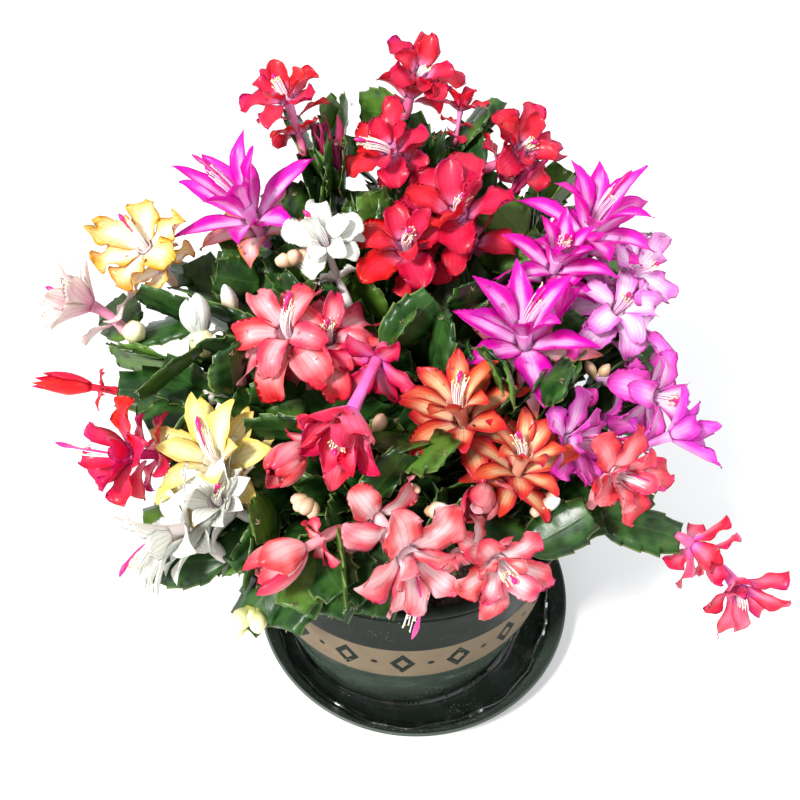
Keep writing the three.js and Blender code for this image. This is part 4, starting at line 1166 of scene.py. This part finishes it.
# Share of the way from a bloom's foot to its mouth and beyond, and how far a shoot stays from there.
BLOOM_CLEAR = ((0.35, 10), (0.7, 15), (1.0, 19), (1.3, 19))
# How far before a bunch of buds or a bloom's mouth a shoot has to be to hide it, and how near the
# line to the eye.
BUDS_SEEN, BLOOM_SEEN = (2, 10), (0, 21)
over_lip = []


def hides(point, spot, margin, clear):
    """True if a point stands between the eye and a spot."""
    toward_eye = unit(np.array(EYE) / MM - spot)
    before = (point - spot) @ toward_eye
    return before > margin and np.linalg.norm(point - spot - before * toward_eye) < clear


def has_room(foot, tip):
    """True if a new shoot stays in the plant's space, off the pot and clear of blooms and buds."""
    if (tip < ROOM_LOW).any() or (tip > ROOM_HIGH).any():
        return False
    if math.hypot(tip[0], tip[1]) > POT_CLEAR[0] and tip[2] < POT_CLEAR[1]:
        return False
    if any((tip > low).all() and (tip < high).all() for low, high in KEPT_FREE):
        return False
    ends = (tip, (foot + tip) / 2)
    if any(hides(point, bunch, *BUDS_SEEN) for bunch in BUD_PLACES for point in ends):
        return False
    for name, mouth in MOUTHS.items():
        along_bloom = [(FEET[name] + (mouth - FEET[name]) * share, clear) for share, clear in BLOOM_CLEAR]
        if any(np.linalg.norm(point - near) < clear for near, clear in along_bloom for point in ends):
            return False
        if any(hides(point, mouth, *BLOOM_SEEN) for point in ends):
            return False
    return True


def tilted(direction, facing, angle):
    """A direction tipped towards or away from its facing side, by an angle in degrees."""
    return turned_about(direction, np.cross(direction, facing), math.radians(angle))


def grow(name, plan, number):
    """Every segment of one branch: (foot, tip, facing, width, young), and the woody foot's line."""
    root, fork, limbs = plan
    draw = np.random.default_rng(100 + number)
    made, limb_joints, ends = [], [], []
    for order, limb in enumerate(limbs):
        on, joint = limb[0] if len(limb[0]) == 2 else (0, 0)
        first = limb_joints[on][joint] if order else np.array(fork, float)
        joints = joints_of([first] + [point for point in limb if len(point) == 3])
        limb_joints.append(joints)
        for i, (foot, tip) in enumerate(zip(joints, joints[1:])):
            middle = (foot + tip) / 2
            away = middle - HEART
            off_lip = abs(math.hypot(middle[0], middle[1]) - LIP_RADIUS)
            if off_lip < LIP_NEAR and middle[2] < LIP_TOP + LIP_ABOVE:
                away = UP
                over_lip.append(name)
            _, along, facing = square_to(tip - foot, away)
            facing = turned_about(facing, along, math.radians(ROLLS[(order * 2 + i) % len(ROLLS)]))
            width = SEGMENT_WIDTH * draw.uniform(0.92, 1.08)
            made.append((foot, tip, facing, width, draw.uniform(0, 0.6)))
            ends.append((tip, along, facing, i))
        if order == 0:
            ends.append((joints[0], unit(joints[1] - joints[0]), made[0][2], -1))
    shoots = []
    for tip, along, facing, index in ends:
        blooming = min(np.linalg.norm(tip - foot) for foot in FEET.values()) < AT_BLOOM
        fan = FORK_FAN if index == -1 else BLOOM_FAN if blooming else END_FAN
        for angle in fan:
            side = turned_about(along, facing, math.radians(angle + draw.uniform(-12, 12)))
            side = tilted(side, facing, draw.uniform(-26, 18))
            shoots.append((tip, side, facing, draw.uniform(27, 38), draw.uniform(0.1, 0.9), 0))
    while shoots:
        foot, side, facing, length, young, depth = shoots.pop(0)
        tip = foot + side * length
        if not has_room(foot, tip):
            continue
        _, along, face = square_to(side, facing)
        face = turned_about(face, along, math.radians(draw.uniform(-24, 24)))
        made.append((foot, tip, face, SEGMENT_WIDTH * draw.uniform(0.78, 1.0), young))
        if depth == 0 and draw.uniform() < 0.5:
            onward = turned_about(along, face, math.radians(draw.uniform(-30, 30)))
            onward = tilted(onward, face, draw.uniform(-25, 15))
            shoots.append((tip, onward, face, length * draw.uniform(0.7, 0.9), min(1, young + 0.25), 1))
    base = np.array([*root, WOOD_FOOT])
    top = np.array(fork, float)
    middle = (base + top) / 2 + np.array([*draw.uniform(-3, 3, 2), 0])
    return made, [base, base * 0.6 + middle * 0.4, middle, middle * 0.4 + top * 0.6,
                  top + unit(top - middle) * 5]


branches = {name: grow(name, plan, number) for number, (name, plan) in enumerate(BRANCHES.items())}
print("segments:", sum(len(made) for made, _ in branches.values()), "laid flat over the lip:", over_lip)

# %% Branch pieces
FOOT_LAP, TIP_LAP = 1.5, 1.0          # millimetres that a segment runs into its neighbours
WOOD_RADII = [4.0, 3.4, 3.2, 3.0, 2.4]
stems = {}
for number, (name, (made, woody)) in enumerate(branches.items()):
    draw = np.random.default_rng(300 + number)
    rows, tufts = [], []
    for foot, tip, facing, width, young in made:
        across, along, face = square_to(tip - foot, facing)
        size = (width / 2, np.linalg.norm(tip - foot) + FOOT_LAP + TIP_LAP, SEGMENT_THICK / 2)
        turn = turn_of(across, along, face)
        rows.append((foot - along * FOOT_LAP, turn, size, int(draw.integers(SEGMENT_SHAPES)), young))
        tufts.append((tip - along * 0.6, turn, (width * 0.13, 2.6, 2.0), 0, draw.uniform()))
    green = place_shapes("segments", rows, segments_box, skin, sway=0.0, seed=number + 1)
    felt = place_shapes("felt", tufts, tuft_box, bristle, sway=0.5, seed=number + 50)
    wood = make_threads("wood", [(woody, WOOD_RADII, draw.uniform())], bark, sides=9)
    stems[name] = joined(f"stems_{name}", [green, felt, wood])
print("branch pieces:", len(stems), "faces:", sum(len(o.data.polygons) for o in stems.values()))


# %% [markdown]
# ## Petals
#
# A petal is a thin closed shell. It is made as a grid: rows run from root to tip along a line that
# leans away from the flower's axis, columns run across and curl like a gutter. Two numbers say how
# it opens, its lean at the root and at the tip; others say how it cups, ruffles and twists. The
# outer and inner faces share their edge, so the shell is closed and its edge is thin.

# %% Petal shell
ROWS, COLUMNS = 12, 8
PETAL_THICK = 0.55
SHARP, MIDDLE, ROUND = (0.5, 1.35, 1.0), (0.56, 1.7, 1.25), (0.62, 2.2, 1.7)


class Mould:
    """Collects closed shells, with the marks on their points, into one mesh."""

    def __init__(self):
        self.points, self.faces, self.finishes, self.count = [], [], [], 0
        self.marks = {"across": [], "along": [], "seed": []}

    def add(self, points, faces, finish=0, **marks):
        points = np.asarray(points, float).reshape(-1, 3)
        self.points.append(points)
        self.faces += [[corner + self.count for corner in face] for face in faces]
        self.finishes += [finish] * len(faces)
        for label, made in self.marks.items():
            made.append(np.broadcast_to(np.asarray(marks.get(label, 0.0), float), (len(points),)))
        self.count += len(points)

    def mesh(self, name, finishes):
        marks = {label: ("FLOAT", np.concatenate(made)) for label, made in self.marks.items()}
        mesh = marked_mesh(name, np.concatenate(self.points) * MM, faces=self.faces, marks=marks)
        for finish in finishes:
            mesh.materials.append(finish)
        mesh.polygons.foreach_set("material_index", self.finishes)
        mesh.shade_smooth()
        return mesh


def shell_faces(rows, columns):
    """Faces of a closed shell: an inner grid, then the outer grid's own inside points.

    At a corner the two sides share three points, so both are split through that corner. Otherwise
    two of their triangles would lie on each other."""
    grid = np.arange((rows + 1) * (columns + 1)).reshape(rows + 1, columns + 1)
    outer = grid.copy()
    outer[1:-1, 1:-1] = np.arange((rows - 1) * (columns - 1)).reshape(rows - 1, columns - 1) + grid.size
    corners = {int(grid[i, j]) for i in (0, rows) for j in (0, columns)}
    faces = []
    for i in range(rows):
        for j in range(columns):
            for side, order in ((grid, 1), (outer, -1)):
                quad = [int(side[a]) for a in ((i, j), (i + 1, j), (i + 1, j + 1), (i, j + 1))][::order]
                start = next((k for k in range(4) if quad[k] in corners), None)
                if start is None:
                    faces.append(quad)
                else:
                    a, b, c, d = quad[start:] + quad[:start]
                    faces += [[a, b, c], [a, c, d]]
    return faces


PETAL_FACES = shell_faces(ROWS, COLUMNS)


def petal(mould, root, axis, outward, look, draw, seed, finish=0):
    """look: open_root, open_tip (degrees), length, width, cup, shape, wave, twist."""
    open_root, open_tip, length, width, cup, shape, wave, twist = look
    widest, fall, tail = shape
    v = 1 - (1 - np.linspace(0, 1, ROWS + 1)[:, None]) ** 1.3
    u = np.linspace(-1, 1, COLUMNS + 1)[None, :]
    angle = np.radians(open_root + (open_tip - open_root) * v ** 1.25)
    heading = np.cos(angle) * axis + np.sin(angle) * outward
    steps = np.diff(v, axis=0) * (heading[1:] + heading[:-1]) / 2
    line = root + np.concatenate([np.zeros((1, 3)), np.cumsum(steps, axis=0)]) * length
    side = np.cross(axis, outward) * np.ones_like(v)
    normal = np.sin(angle) * axis - np.cos(angle) * outward
    spin = np.radians(twist) * v
    side, normal = (side * np.cos(spin) + normal * np.sin(spin),
                    normal * np.cos(spin) - side * np.sin(spin))
    rise = 0.3 + 0.7 * np.sin(np.minimum(v / widest, 1) * math.pi / 2)
    drop = np.clip((v - widest) / (1 - widest), 0, 1)
    half = width / 2 * np.where(v < widest, rise, np.maximum(1 - drop ** fall, 0.0004) ** (1 / tail))
    ragged = 1 + 0.035 * draw.standard_normal((ROWS + 1, 2)) * (v > 0.25)
    half = half * (ragged[:, :1] * (u < 0) + ragged[:, 1:] * (u >= 0)) ** np.abs(u)
    half = np.maximum(half, 0.15)
    curl = cup * (0.6 + 0.6 * v)
    sweep = draw.uniform(-0.12, 0.12) * length * v ** 2
    lateral = half * np.sin(curl * u) / curl + sweep
    phase, count = draw.uniform(0, 6.28, 2), draw.uniform(1.4, 2.6)
    ripple = np.sin(count * 2 * math.pi * v + np.where(u < 0, phase[0], phase[1]))
    lift = half * (1 - np.cos(curl * u)) / curl + wave * width * u ** 2 * ripple * v
    line, side, normal = line[:, None, :], side[:, None, :], normal[:, None, :]
    middle = line + side * lateral[..., None] + normal * lift[..., None]
    thick = PETAL_THICK * (1 - np.abs(u) ** 2.5) * (1 - v ** 8) * (1.25 - 0.6 * v) * np.minimum(1, v * 12)
    gutter = 0.18 * np.cos(u * math.pi * 4.5) * (1 - np.abs(u)) * np.sin(np.minimum(1, v * 1.2) * math.pi)
    inner = middle + normal * (thick / 2 + gutter)[..., None]
    outer = middle - normal * (thick / 2 - gutter)[..., None]
    points = np.concatenate([inner.reshape(-1, 3), outer[1:-1, 1:-1].reshape(-1, 3)])
    flat_u, flat_v = np.broadcast_to(u, thick.shape), np.broadcast_to(v, thick.shape)
    across = np.concatenate([flat_u.ravel(), flat_u[1:-1, 1:-1].ravel()])
    along = np.concatenate([flat_v.ravel(), flat_v[1:-1, 1:-1].ravel()])
    mould.add(points, PETAL_FACES, finish, across=across, along=along, seed=seed)


# %% Flower tube
TUBE_SIDES = 14
# Radius in millimetres and share of the way from foot to mouth, up the outside and down the throat.
TUBE_PROFILE = [(0.0, -0.05), (2.0, -0.04), (3.0, 0.05), (3.3, 0.14), (2.7, 0.24), (2.5, 0.45),
                (3.0, 0.7), (4.0, 0.9), (5.0, 1.0), (4.5, 0.99), (3.3, 0.86), (2.2, 0.7), (0.0, 0.62)]
TUBE_ACROSS = 0.35                  # where on a petal's colouring the tube lies
RIDGES, RIDGE_HEIGHT = 5, 0.07
NEARLY_UP = (0.05, 0.02, 1.0)       # no tube points exactly this way


class Stalk:
    """The bent line of a flower's tube, from its foot to its mouth, which opens towards face."""

    def __init__(self, foot, mouth, face=None):
        self.foot, self.mouth = np.array(foot, float), np.array(mouth, float)
        self.reach = np.linalg.norm(self.mouth - self.foot)
        face = unit(self.mouth - self.foot) if face is None else unit(face)
        self.bend = self.mouth - face * self.reach * 0.5

    def at(self, share):
        """The point at a share of the way, the heading there, and a direction square to it."""
        t = min(max(share, 0.0), 1.0)
        point = (1 - t) ** 2 * self.foot + 2 * t * (1 - t) * self.bend + t * t * self.mouth
        heading = unit((1 - t) * (self.bend - self.foot) + t * (self.mouth - self.bend))
        point = point + heading * (share - t) * self.reach
        return point, heading, unit(np.cross(heading, NEARLY_UP))


def tube(mould, stalk, size, seed):
    """The tube that a flower's petals stand on, with a swollen base and an open throat."""
    rings, along = [], []
    for radius, share in TUBE_PROFILE:
        middle, heading, sideways = stalk.at(share)
        outward = np.cross(heading, sideways)
        ring = []
        for turn in 2 * math.pi * np.arange(TUBE_SIDES) / TUBE_SIDES:
            ridge = 1 + RIDGE_HEIGHT * math.cos(turn * RIDGES)
            spoke = sideways * math.cos(turn) + outward * math.sin(turn)
            ring.append(middle + radius * size * ridge * spoke)
        rings.append(ring if radius else [middle])
        along += [max(0.0, 0.3 - share * 0.3) if radius else 0.0] * len(rings[-1])
    points, faces = round_shell(rings, TUBE_SIDES)
    mould.add(points, faces, across=TUBE_ACROSS, along=along, seed=seed)


# %% [markdown]
# ## Blooms
#
# A bloom is rings of petals up a tube. The plan's word for how it opens picks the rings: a star has
# long pointed petals, a lotus has blunter ones, a tiered bloom has a folded-back skirt under an open
# cup, and a mop curls right back. A double is packed, a frilled one is wide and waved, a cup and a
# drooping bloom stay half closed, a spire is a narrow spindle, and a bell hasn't opened yet.
# Threads come last: a brush of thin filaments with pollen at their ends, and one longer style. They
# are paths, so the threads tree makes them.

# %% How each kind opens
WAVE_MORE, TWIST_MORE = 1.3, 1.6    # how much more than the plan's numbers a petal ruffles and twists
FILAMENTS, FILAMENT_RADIUS, ANTHER_SIZE = 24, 0.24, (1.0, 1.9, 1.0)
GOLDEN_ANGLE = 2.39996              # radians: each filament's turn from the last, so that none line up
THROAT = 0.72                       # share of the way up the tube where the threads start
STYLE_RADII = [0.5] * 11 + [0.55, 0.75, 1.3, 1.2, 0.4]
# Place along the tube, count, turn, lean at root and tip, length, width, cup, shape, wave, twist.
KINDS = {
    "star": [
        (0.30, 5, 0.0, 60, 122, 33, 14, 0.7, SHARP, 0.06, 12),
        (0.62, 6, 0.5, 52, 96, 38, 15.5, 0.8, SHARP, 0.05, 10),
        (0.93, 6, 0.2, 20, 58, 34, 13.5, 0.9, SHARP, 0.04, 8)],
    "lotus": [
        (0.30, 6, 0.0, 60, 118, 27, 14, 0.7, MIDDLE, 0.06, 10),
        (0.60, 7, 0.3, 54, 92, 31, 15, 0.8, MIDDLE, 0.06, 10),
        (0.92, 6, 0.6, 30, 62, 26, 13.5, 0.9, MIDDLE, 0.05, 8)],
    "tiered": [
        (0.28, 4, 0.3, 60, 128, 20, 15, 0.7, ROUND, 0.1, 16),
        (0.55, 2, 0.8, 58, 120, 22, 15, 0.7, ROUND, 0.1, 16),
        (0.88, 5, 0.1, 50, 104, 27, 19, 0.6, ROUND, 0.12, 14),
        (0.97, 4, 0.6, 24, 66, 22, 15, 1.0, ROUND, 0.1, 12)],
    "double": [
        (0.12, 5, 0.3, 56, 108, 25, 15, 0.8, ROUND, 0.14, 18),
        (0.3, 3, 0.8, 50, 96, 22, 14, 0.8, ROUND, 0.14, 18),
        (0.9, 5, 0.1, 46, 96, 26, 16, 0.8, ROUND, 0.14, 16),
        (0.97, 3, 0.6, 24, 62, 22, 13, 1.0, ROUND, 0.12, 12)],
    "mop": [
        (0.30, 4, 0.2, 62, 150, 24, 17, 0.9, ROUND, 0.12, 16),
        (0.78, 6, 0.1, 62, 168, 33, 21, 1.0, ROUND, 0.1, 14),
        (0.97, 5, 0.5, 30, 150, 25, 17, 1.1, ROUND, 0.1, 14)],
    "frilled": [
        (0.30, 4, 0.2, 66, 118, 24, 18, 0.5, ROUND, 0.16, 12),
        (0.90, 6, 0.1, 60, 92, 31, 23, 0.45, ROUND, 0.2, 12)],
    "cup": [
        (0.30, 3, 0.1, 62, 124, 20, 14, 0.7, ROUND, 0.08, 12),
        (0.82, 5, 0.3, 44, 58, 31, 20, 0.9, MIDDLE, 0.08, 10),
        (0.9, 3, 0.7, 24, 34, 27, 16, 1.1, MIDDLE, 0.06, 10)],
    "drooping": [
        (0.2, 6, 0.0, 58, 96, 23, 13, 0.7, MIDDLE, 0.12, 16),
        (0.8, 5, 0.3, 44, 22, 34, 20, 1.0, MIDDLE, 0.08, 10),
        (0.88, 4, 0.7, 28, 8, 29, 16, 1.1, MIDDLE, 0.06, 10)],
    "spire": [
        (0.35, 5, 0.0, 60, 122, 15, 9, 0.7, SHARP, 0.04, 8),
        (0.6, 4, 0.3, 26, -12, 38, 15, 1.4, SHARP, 0.03, 5),
        (0.7, 3, 0.7, 20, -12, 36, 13, 1.4, SHARP, 0.03, 5)],
    "bell": [
        (0.22, 4, 0.1, 56, 146, 15, 11, 0.8, ROUND, 0.1, 14),
        (0.45, 3, 0.2, 50, -52, 34, 27, 1.5, ROUND, 0.03, 4),
        (0.5, 3, 0.7, 44, -52, 31, 24, 1.4, ROUND, 0.03, 4)],
}


def whorls(mould, stalk, size, rings, draw, first_finish=0):
    """The rings of petals of one bloom. first_finish is the finish of the lowest ring."""
    for order, ring in enumerate(rings):
        at, count, turn, open_root, open_tip, length, width, cup, shape, wave, twist = ring
        middle, axis, sideways = stalk.at(at)
        for i in range(count):
            angle = ((i + turn) / count) * 2 * math.pi + draw.uniform(-0.14, 0.14)
            outward = turned_about(sideways, axis, angle)
            root = middle + outward * (2.4 + 1.6 * at) * size
            look = (open_root + draw.uniform(-8, 8), open_tip + draw.uniform(-20, 20),
                    length * size * draw.uniform(0.84, 1.1), width * size * draw.uniform(0.86, 1.1),
                    cup, shape, wave * WAVE_MORE, draw.uniform(-twist, twist) * TWIST_MORE)
            finish = first_finish if order == 0 else 0
            petal(mould, root, axis, outward, look, draw, draw.uniform(), finish)


def bend_path(start, middle, end, count):
    t = np.linspace(0, 1, count)[:, None]
    return (1 - t) ** 2 * start + 2 * t * (1 - t) * middle + t ** 2 * end


def threads_of(stalk, size, heading, reach_out, colour, draw, number):
    """The brush of filaments, the anthers on their ends, and the style."""
    throat, axis, sideways = stalk.at(THROAT)
    paths, anthers = [], []
    for i in range(FILAMENTS):
        out = turned_about(sideways, axis, i * GOLDEN_ANGLE)
        far = reach_out * draw.uniform(0.5, 0.82)
        end = stalk.mouth + heading * far + out * draw.uniform(1.2, 4.2) * size
        line = bend_path(throat + out * 1.4 * size, stalk.mouth + axis * far * 0.4 + out * 2.4, end, 7)
        paths.append((line, [FILAMENT_RADIUS] * 7, draw.uniform()))
        turn = turn_of(*square_to(heading + out * 0.5, sideways + 0.1))
        anthers.append((end, turn, ANTHER_SIZE, 0, draw.uniform()))
    line = bend_path(throat, stalk.mouth + axis * reach_out * 0.5, stalk.mouth + heading * reach_out, 16)
    return [make_threads("filaments", paths, THREADS[colour], sides=4),
            place_shapes("anthers", anthers, anther_box, anther, sway=0.5, seed=number + 1),
            make_threads("style", [(line, STYLE_RADII, 0.5)], style, sides=8)]


def bloom(name, row, number):
    finish, kind, size, foot, mouth, aim, reach_out = row
    draw = np.random.default_rng(500 + number)
    stalk = Stalk(foot, mouth, FACES.get(name))
    mould = Mould()
    tube(mould, stalk, size, draw.uniform())
    whorls(mould, stalk, size, KINDS[kind], draw, first_finish=1 if name in TWO_TONED else 0)
    finishes = [PETALS[finish]] + ([PETALS["sunset"]] if name in TWO_TONED else [])
    parts = [new_object("petals", mould.mesh("petals", finishes))]
    if reach_out:
        colour = "pink" if finish in PINK_THREADED else "white"
        parts += threads_of(stalk, size, unit(aim), reach_out, colour, draw, number)
    return joined(f"bloom_{name}", parts)


blooms = {name: bloom(name, row, number) for number, (name, row) in enumerate(BLOOMS.items())}
print("bloom pieces:", len(blooms), "faces:", sum(len(o.data.polygons) for o in blooms.values()))

# %% [markdown]
# ## Spent blooms and buds
#
# A flower that is over shrinks to a twisted crimson spindle. Two late blooms are small, one open and
# one still closed. Buds sit in small bunches on the end
# of a segment, greenish at the foot and already coloured at the tip.

# %% Spent blooms
SPENT_RINGS = [(0.2, 4, 0.0, 18, 4, 24, 8, 1.2, MIDDLE, 0.12, 60),
               (0.5, 4, 0.5, 14, 0, 28, 8, 1.2, MIDDLE, 0.12, 60)]
CLOSED_RINGS = [(0.15, 5, 0.0, 50, 100, 9, 7, 0.8, MIDDLE, 0.08, 12),
                (0.35, 3, 0.2, 46, -62, 25, 20, 1.5, ROUND, 0.03, 4),
                (0.4, 3, 0.7, 42, -62, 23, 18, 1.4, ROUND, 0.03, 4)]
# Foot, mouth, size, petal finish, rings and material slot.
EXTRAS = {
    "spent_bloom_tall": ((-38, 98, 251), (-45, 108, 276), 1.0, "wilted", SPENT_RINGS, "petal_red"),
    "spent_bloom_right": ((50, 90, 256), (58, 94, 272), 0.7, "wilted", SPENT_RINGS, "petal_red"),
    "late_bloom_top": ((22, 126, 262), (24, 134, 284), 0.55, "red", KINDS["tiered"], "petal_red"),
    "late_bloom_white": ((-105, 22, 209), (-109, 30, 226), 0.95, "white", CLOSED_RINGS, "petal_white"),
}
extras = {}
for number, (name, (foot, mouth, size, finish, rings, _)) in enumerate(EXTRAS.items()):
    draw = np.random.default_rng(800 + number)
    stalk = Stalk(foot, mouth)
    mould = Mould()
    tube(mould, stalk, size * 0.8, draw.uniform())
    whorls(mould, stalk, size, rings, draw)
    extras[name] = new_object(name, mould.mesh(name, [PETALS[finish]]))
print("spent and late blooms:", len(extras))

# %% Buds
BUD_SLOT = {"peach": "petal_orange", "white": "petal_white", "cream": "petal_yellow",
            "magenta": "petal_magenta"}
buds = {}
for number, (colour, bunches) in enumerate(BUNCHES.items()):
    draw = np.random.default_rng(900 + number)
    rows = []
    for base, aim, members in bunches:
        across, along, facing = square_to(aim, UP + 0.01)
        for lean, length, width, pick in members:
            heading = unit(along + across * lean + facing * draw.uniform(-0.3, 0.3))
            turn = turn_of(*square_to(heading, facing))
            start = np.array(base, float) + across * lean * 2.5 - heading * 1.5
            rows.append((start, turn, (width, length, width), pick, draw.uniform()))
    buds[colour] = place_shapes(f"buds_{colour}", rows, bud_box, BUDS[colour], sway=0.08, seed=number + 5)
print("buds:", sum(len(m) for bunches in BUNCHES.values() for _, _, m in bunches))

# %% [markdown]
# ## Water
#
# The plant has just been watered. Drops sit on the petals and on the pot's wall, and a film of
# water lies in the saucer. Water is clear, so it is a plain transmitting shader, and its detail is
# all in its shape: small domes, and a film with an uneven edge.

# %% Water
water = material("clear water", Roughness=0.02, IOR=1.33, Transmission_Weight=1.0)[0]
# Drops to the square metre on each bloom, in the order of their seeds.
WET_BLOOMS = {"magenta_left": 5200, "magenta_heart": 6000, "orange_high": 2600, "salmon_front": 2400,
              "red_drooping": 2400, "coral_left": 2200, "red_heart": 2000, "purple_right": 4000}


def strip(name, turns, rings, outward=True, shift=(0, 0)):
    """A bare band round an axis, between two [radius, height] rings, for drops to sit on."""
    mesh = bpy.data.meshes.new(name)
    order = (0, 2, 3, 1) if outward else (1, 3, 2, 0)
    mesh.from_pydata([((shift[0] + r * math.cos(a)) * MM, (shift[1] + r * math.sin(a)) * MM, z * MM)
                      for a in turns for r, z in rings],
                     [], [tuple(2 * i + k for k in order) for i in range(len(turns) - 1)])
    return mesh


def wetted(base, density, smallest, largest, seed, least_slope=-1.0):
    """Drops strewn over a mesh, so many to the square metre. A least slope of -1 takes every face."""
    return made_plain("drops", base, scatter_tree, Shape=drop_shape, Density=float(density), Seed=seed,
                      Smallest=smallest, Largest=largest, Least_slope=least_slope, Material=water)


wall = strip("wall", [i * 2 * math.pi / 48 for i in range(49)], ((76.6, 16), (86.1, 62)))
left_front = [math.radians(165 + i * 4) for i in range(36)]
lip = strip("lip", left_front, ((92.2, 9.4), (97.0, 18.0)), False, SAUCER_SHIFT)
drops = [wetted(blooms[name].data.copy(), density, 0.0007, 0.0024, 60 + number, 0.35)
         for number, (name, density) in enumerate(WET_BLOOMS.items())]
drops += [wetted(wall, 3600, 0.0006, 0.0018, 77), wetted(lip, 14000, 0.0012, 0.0036, 91)]
drops = joined("water_drops", drops)
print("drop faces:", len(drops.data.polygons))

# %% Film of water in the saucer
FILM_TURNS, FILM_LANES = 160, 8
FILM_SHARES = np.arange(FILM_LANES) / (FILM_LANES - 1)
FILM_INNER, FILM_EDGE = 75.6, 90.4    # millimetres: just off the pot's foot, and its mean edge
FILM_TOP, FILM_FOOT = 6.3, 3.12       # heights of its surface and of its underside
SAUCER_BEND, WALL_RISE = 84.5, 0.66   # outside this radius the saucer's inner face rises by this share
points = []
for i in range(FILM_TURNS):
    a = 2 * math.pi * i / FILM_TURNS
    heading = np.array([math.cos(a), math.sin(a)])
    edge = FILM_EDGE + 1.2 * math.sin(7 * a + 1) + 0.9 * math.sin(19 * a)
    inner, outer = heading * FILM_INNER, np.array(SAUCER_SHIFT) + heading * edge
    top = FILM_TOP + (edge - FILM_EDGE) * 0.6
    across = [(share, *(inner + (outer - inner) * share)) for share in FILM_SHARES]
    for share, x, y in across:
        ripple = 0.12 * math.sin(x * 0.5) * math.cos(y * 0.45) * math.sin(math.pi * share)
        points.append((x, y, top + ripple))
    for _, x, y in across[1:-1]:
        off = math.hypot(x - SAUCER_SHIFT[0], y - SAUCER_SHIFT[1])
        points.append((x, y, FILM_FOOT + max(0.0, off - SAUCER_BEND) * WALL_RISE))
faces, ring = [], 2 * FILM_LANES - 2
loop = list(range(FILM_LANES)) + list(range(ring - 1, FILM_LANES - 1, -1))
for i in range(FILM_TURNS):
    here, there = i * ring, (i + 1) % FILM_TURNS * ring
    faces += [(here + a, here + b, there + b, there + a) for a, b in zip(loop, loop[1:] + loop[:1])]
film = smooth_object("saucer_water", points, faces, water)
print("film faces:", len(film.data.polygons))

# %% [markdown]
# ## Handing over
#
# Each piece rides on its body, and the solid node that it replaces is hidden. The pattern shapes
# have done their work and are removed.

# %% Ride and replace
for box in (segments_box, tuft_box, bud_box, anther_box):
    for pattern in list(box.objects):
        bpy.data.objects.remove(pattern)
    bpy.data.collections.remove(box)
for pattern in (crumb_shape, drop_shape):
    bpy.data.objects.remove(pattern)

# Each row is a piece, the solid node that it replaces and its slot.
handed = [(piece, f"branch_{name}", "stem") for name, piece in stems.items()]
handed += [(piece, f"flower_{name}", SLOT_BY_NAME.get(name) or SLOT_OF[BLOOMS[name][0]])
           for name, piece in blooms.items()]
handed += [(piece, None, EXTRAS[name][-1]) for name, piece in extras.items()]
handed += [(piece, None, BUD_SLOT[colour]) for colour, piece in buds.items()]
handed += [(pot, "pot", "pot"), (saucer, "saucer", "saucer"), (soil, "soil", "soil")]
handed += [(drops, None, None), (film, None, None)]
for piece, solid, slot in handed:
    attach(piece, BODY)
    if solid:
        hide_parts(solid)
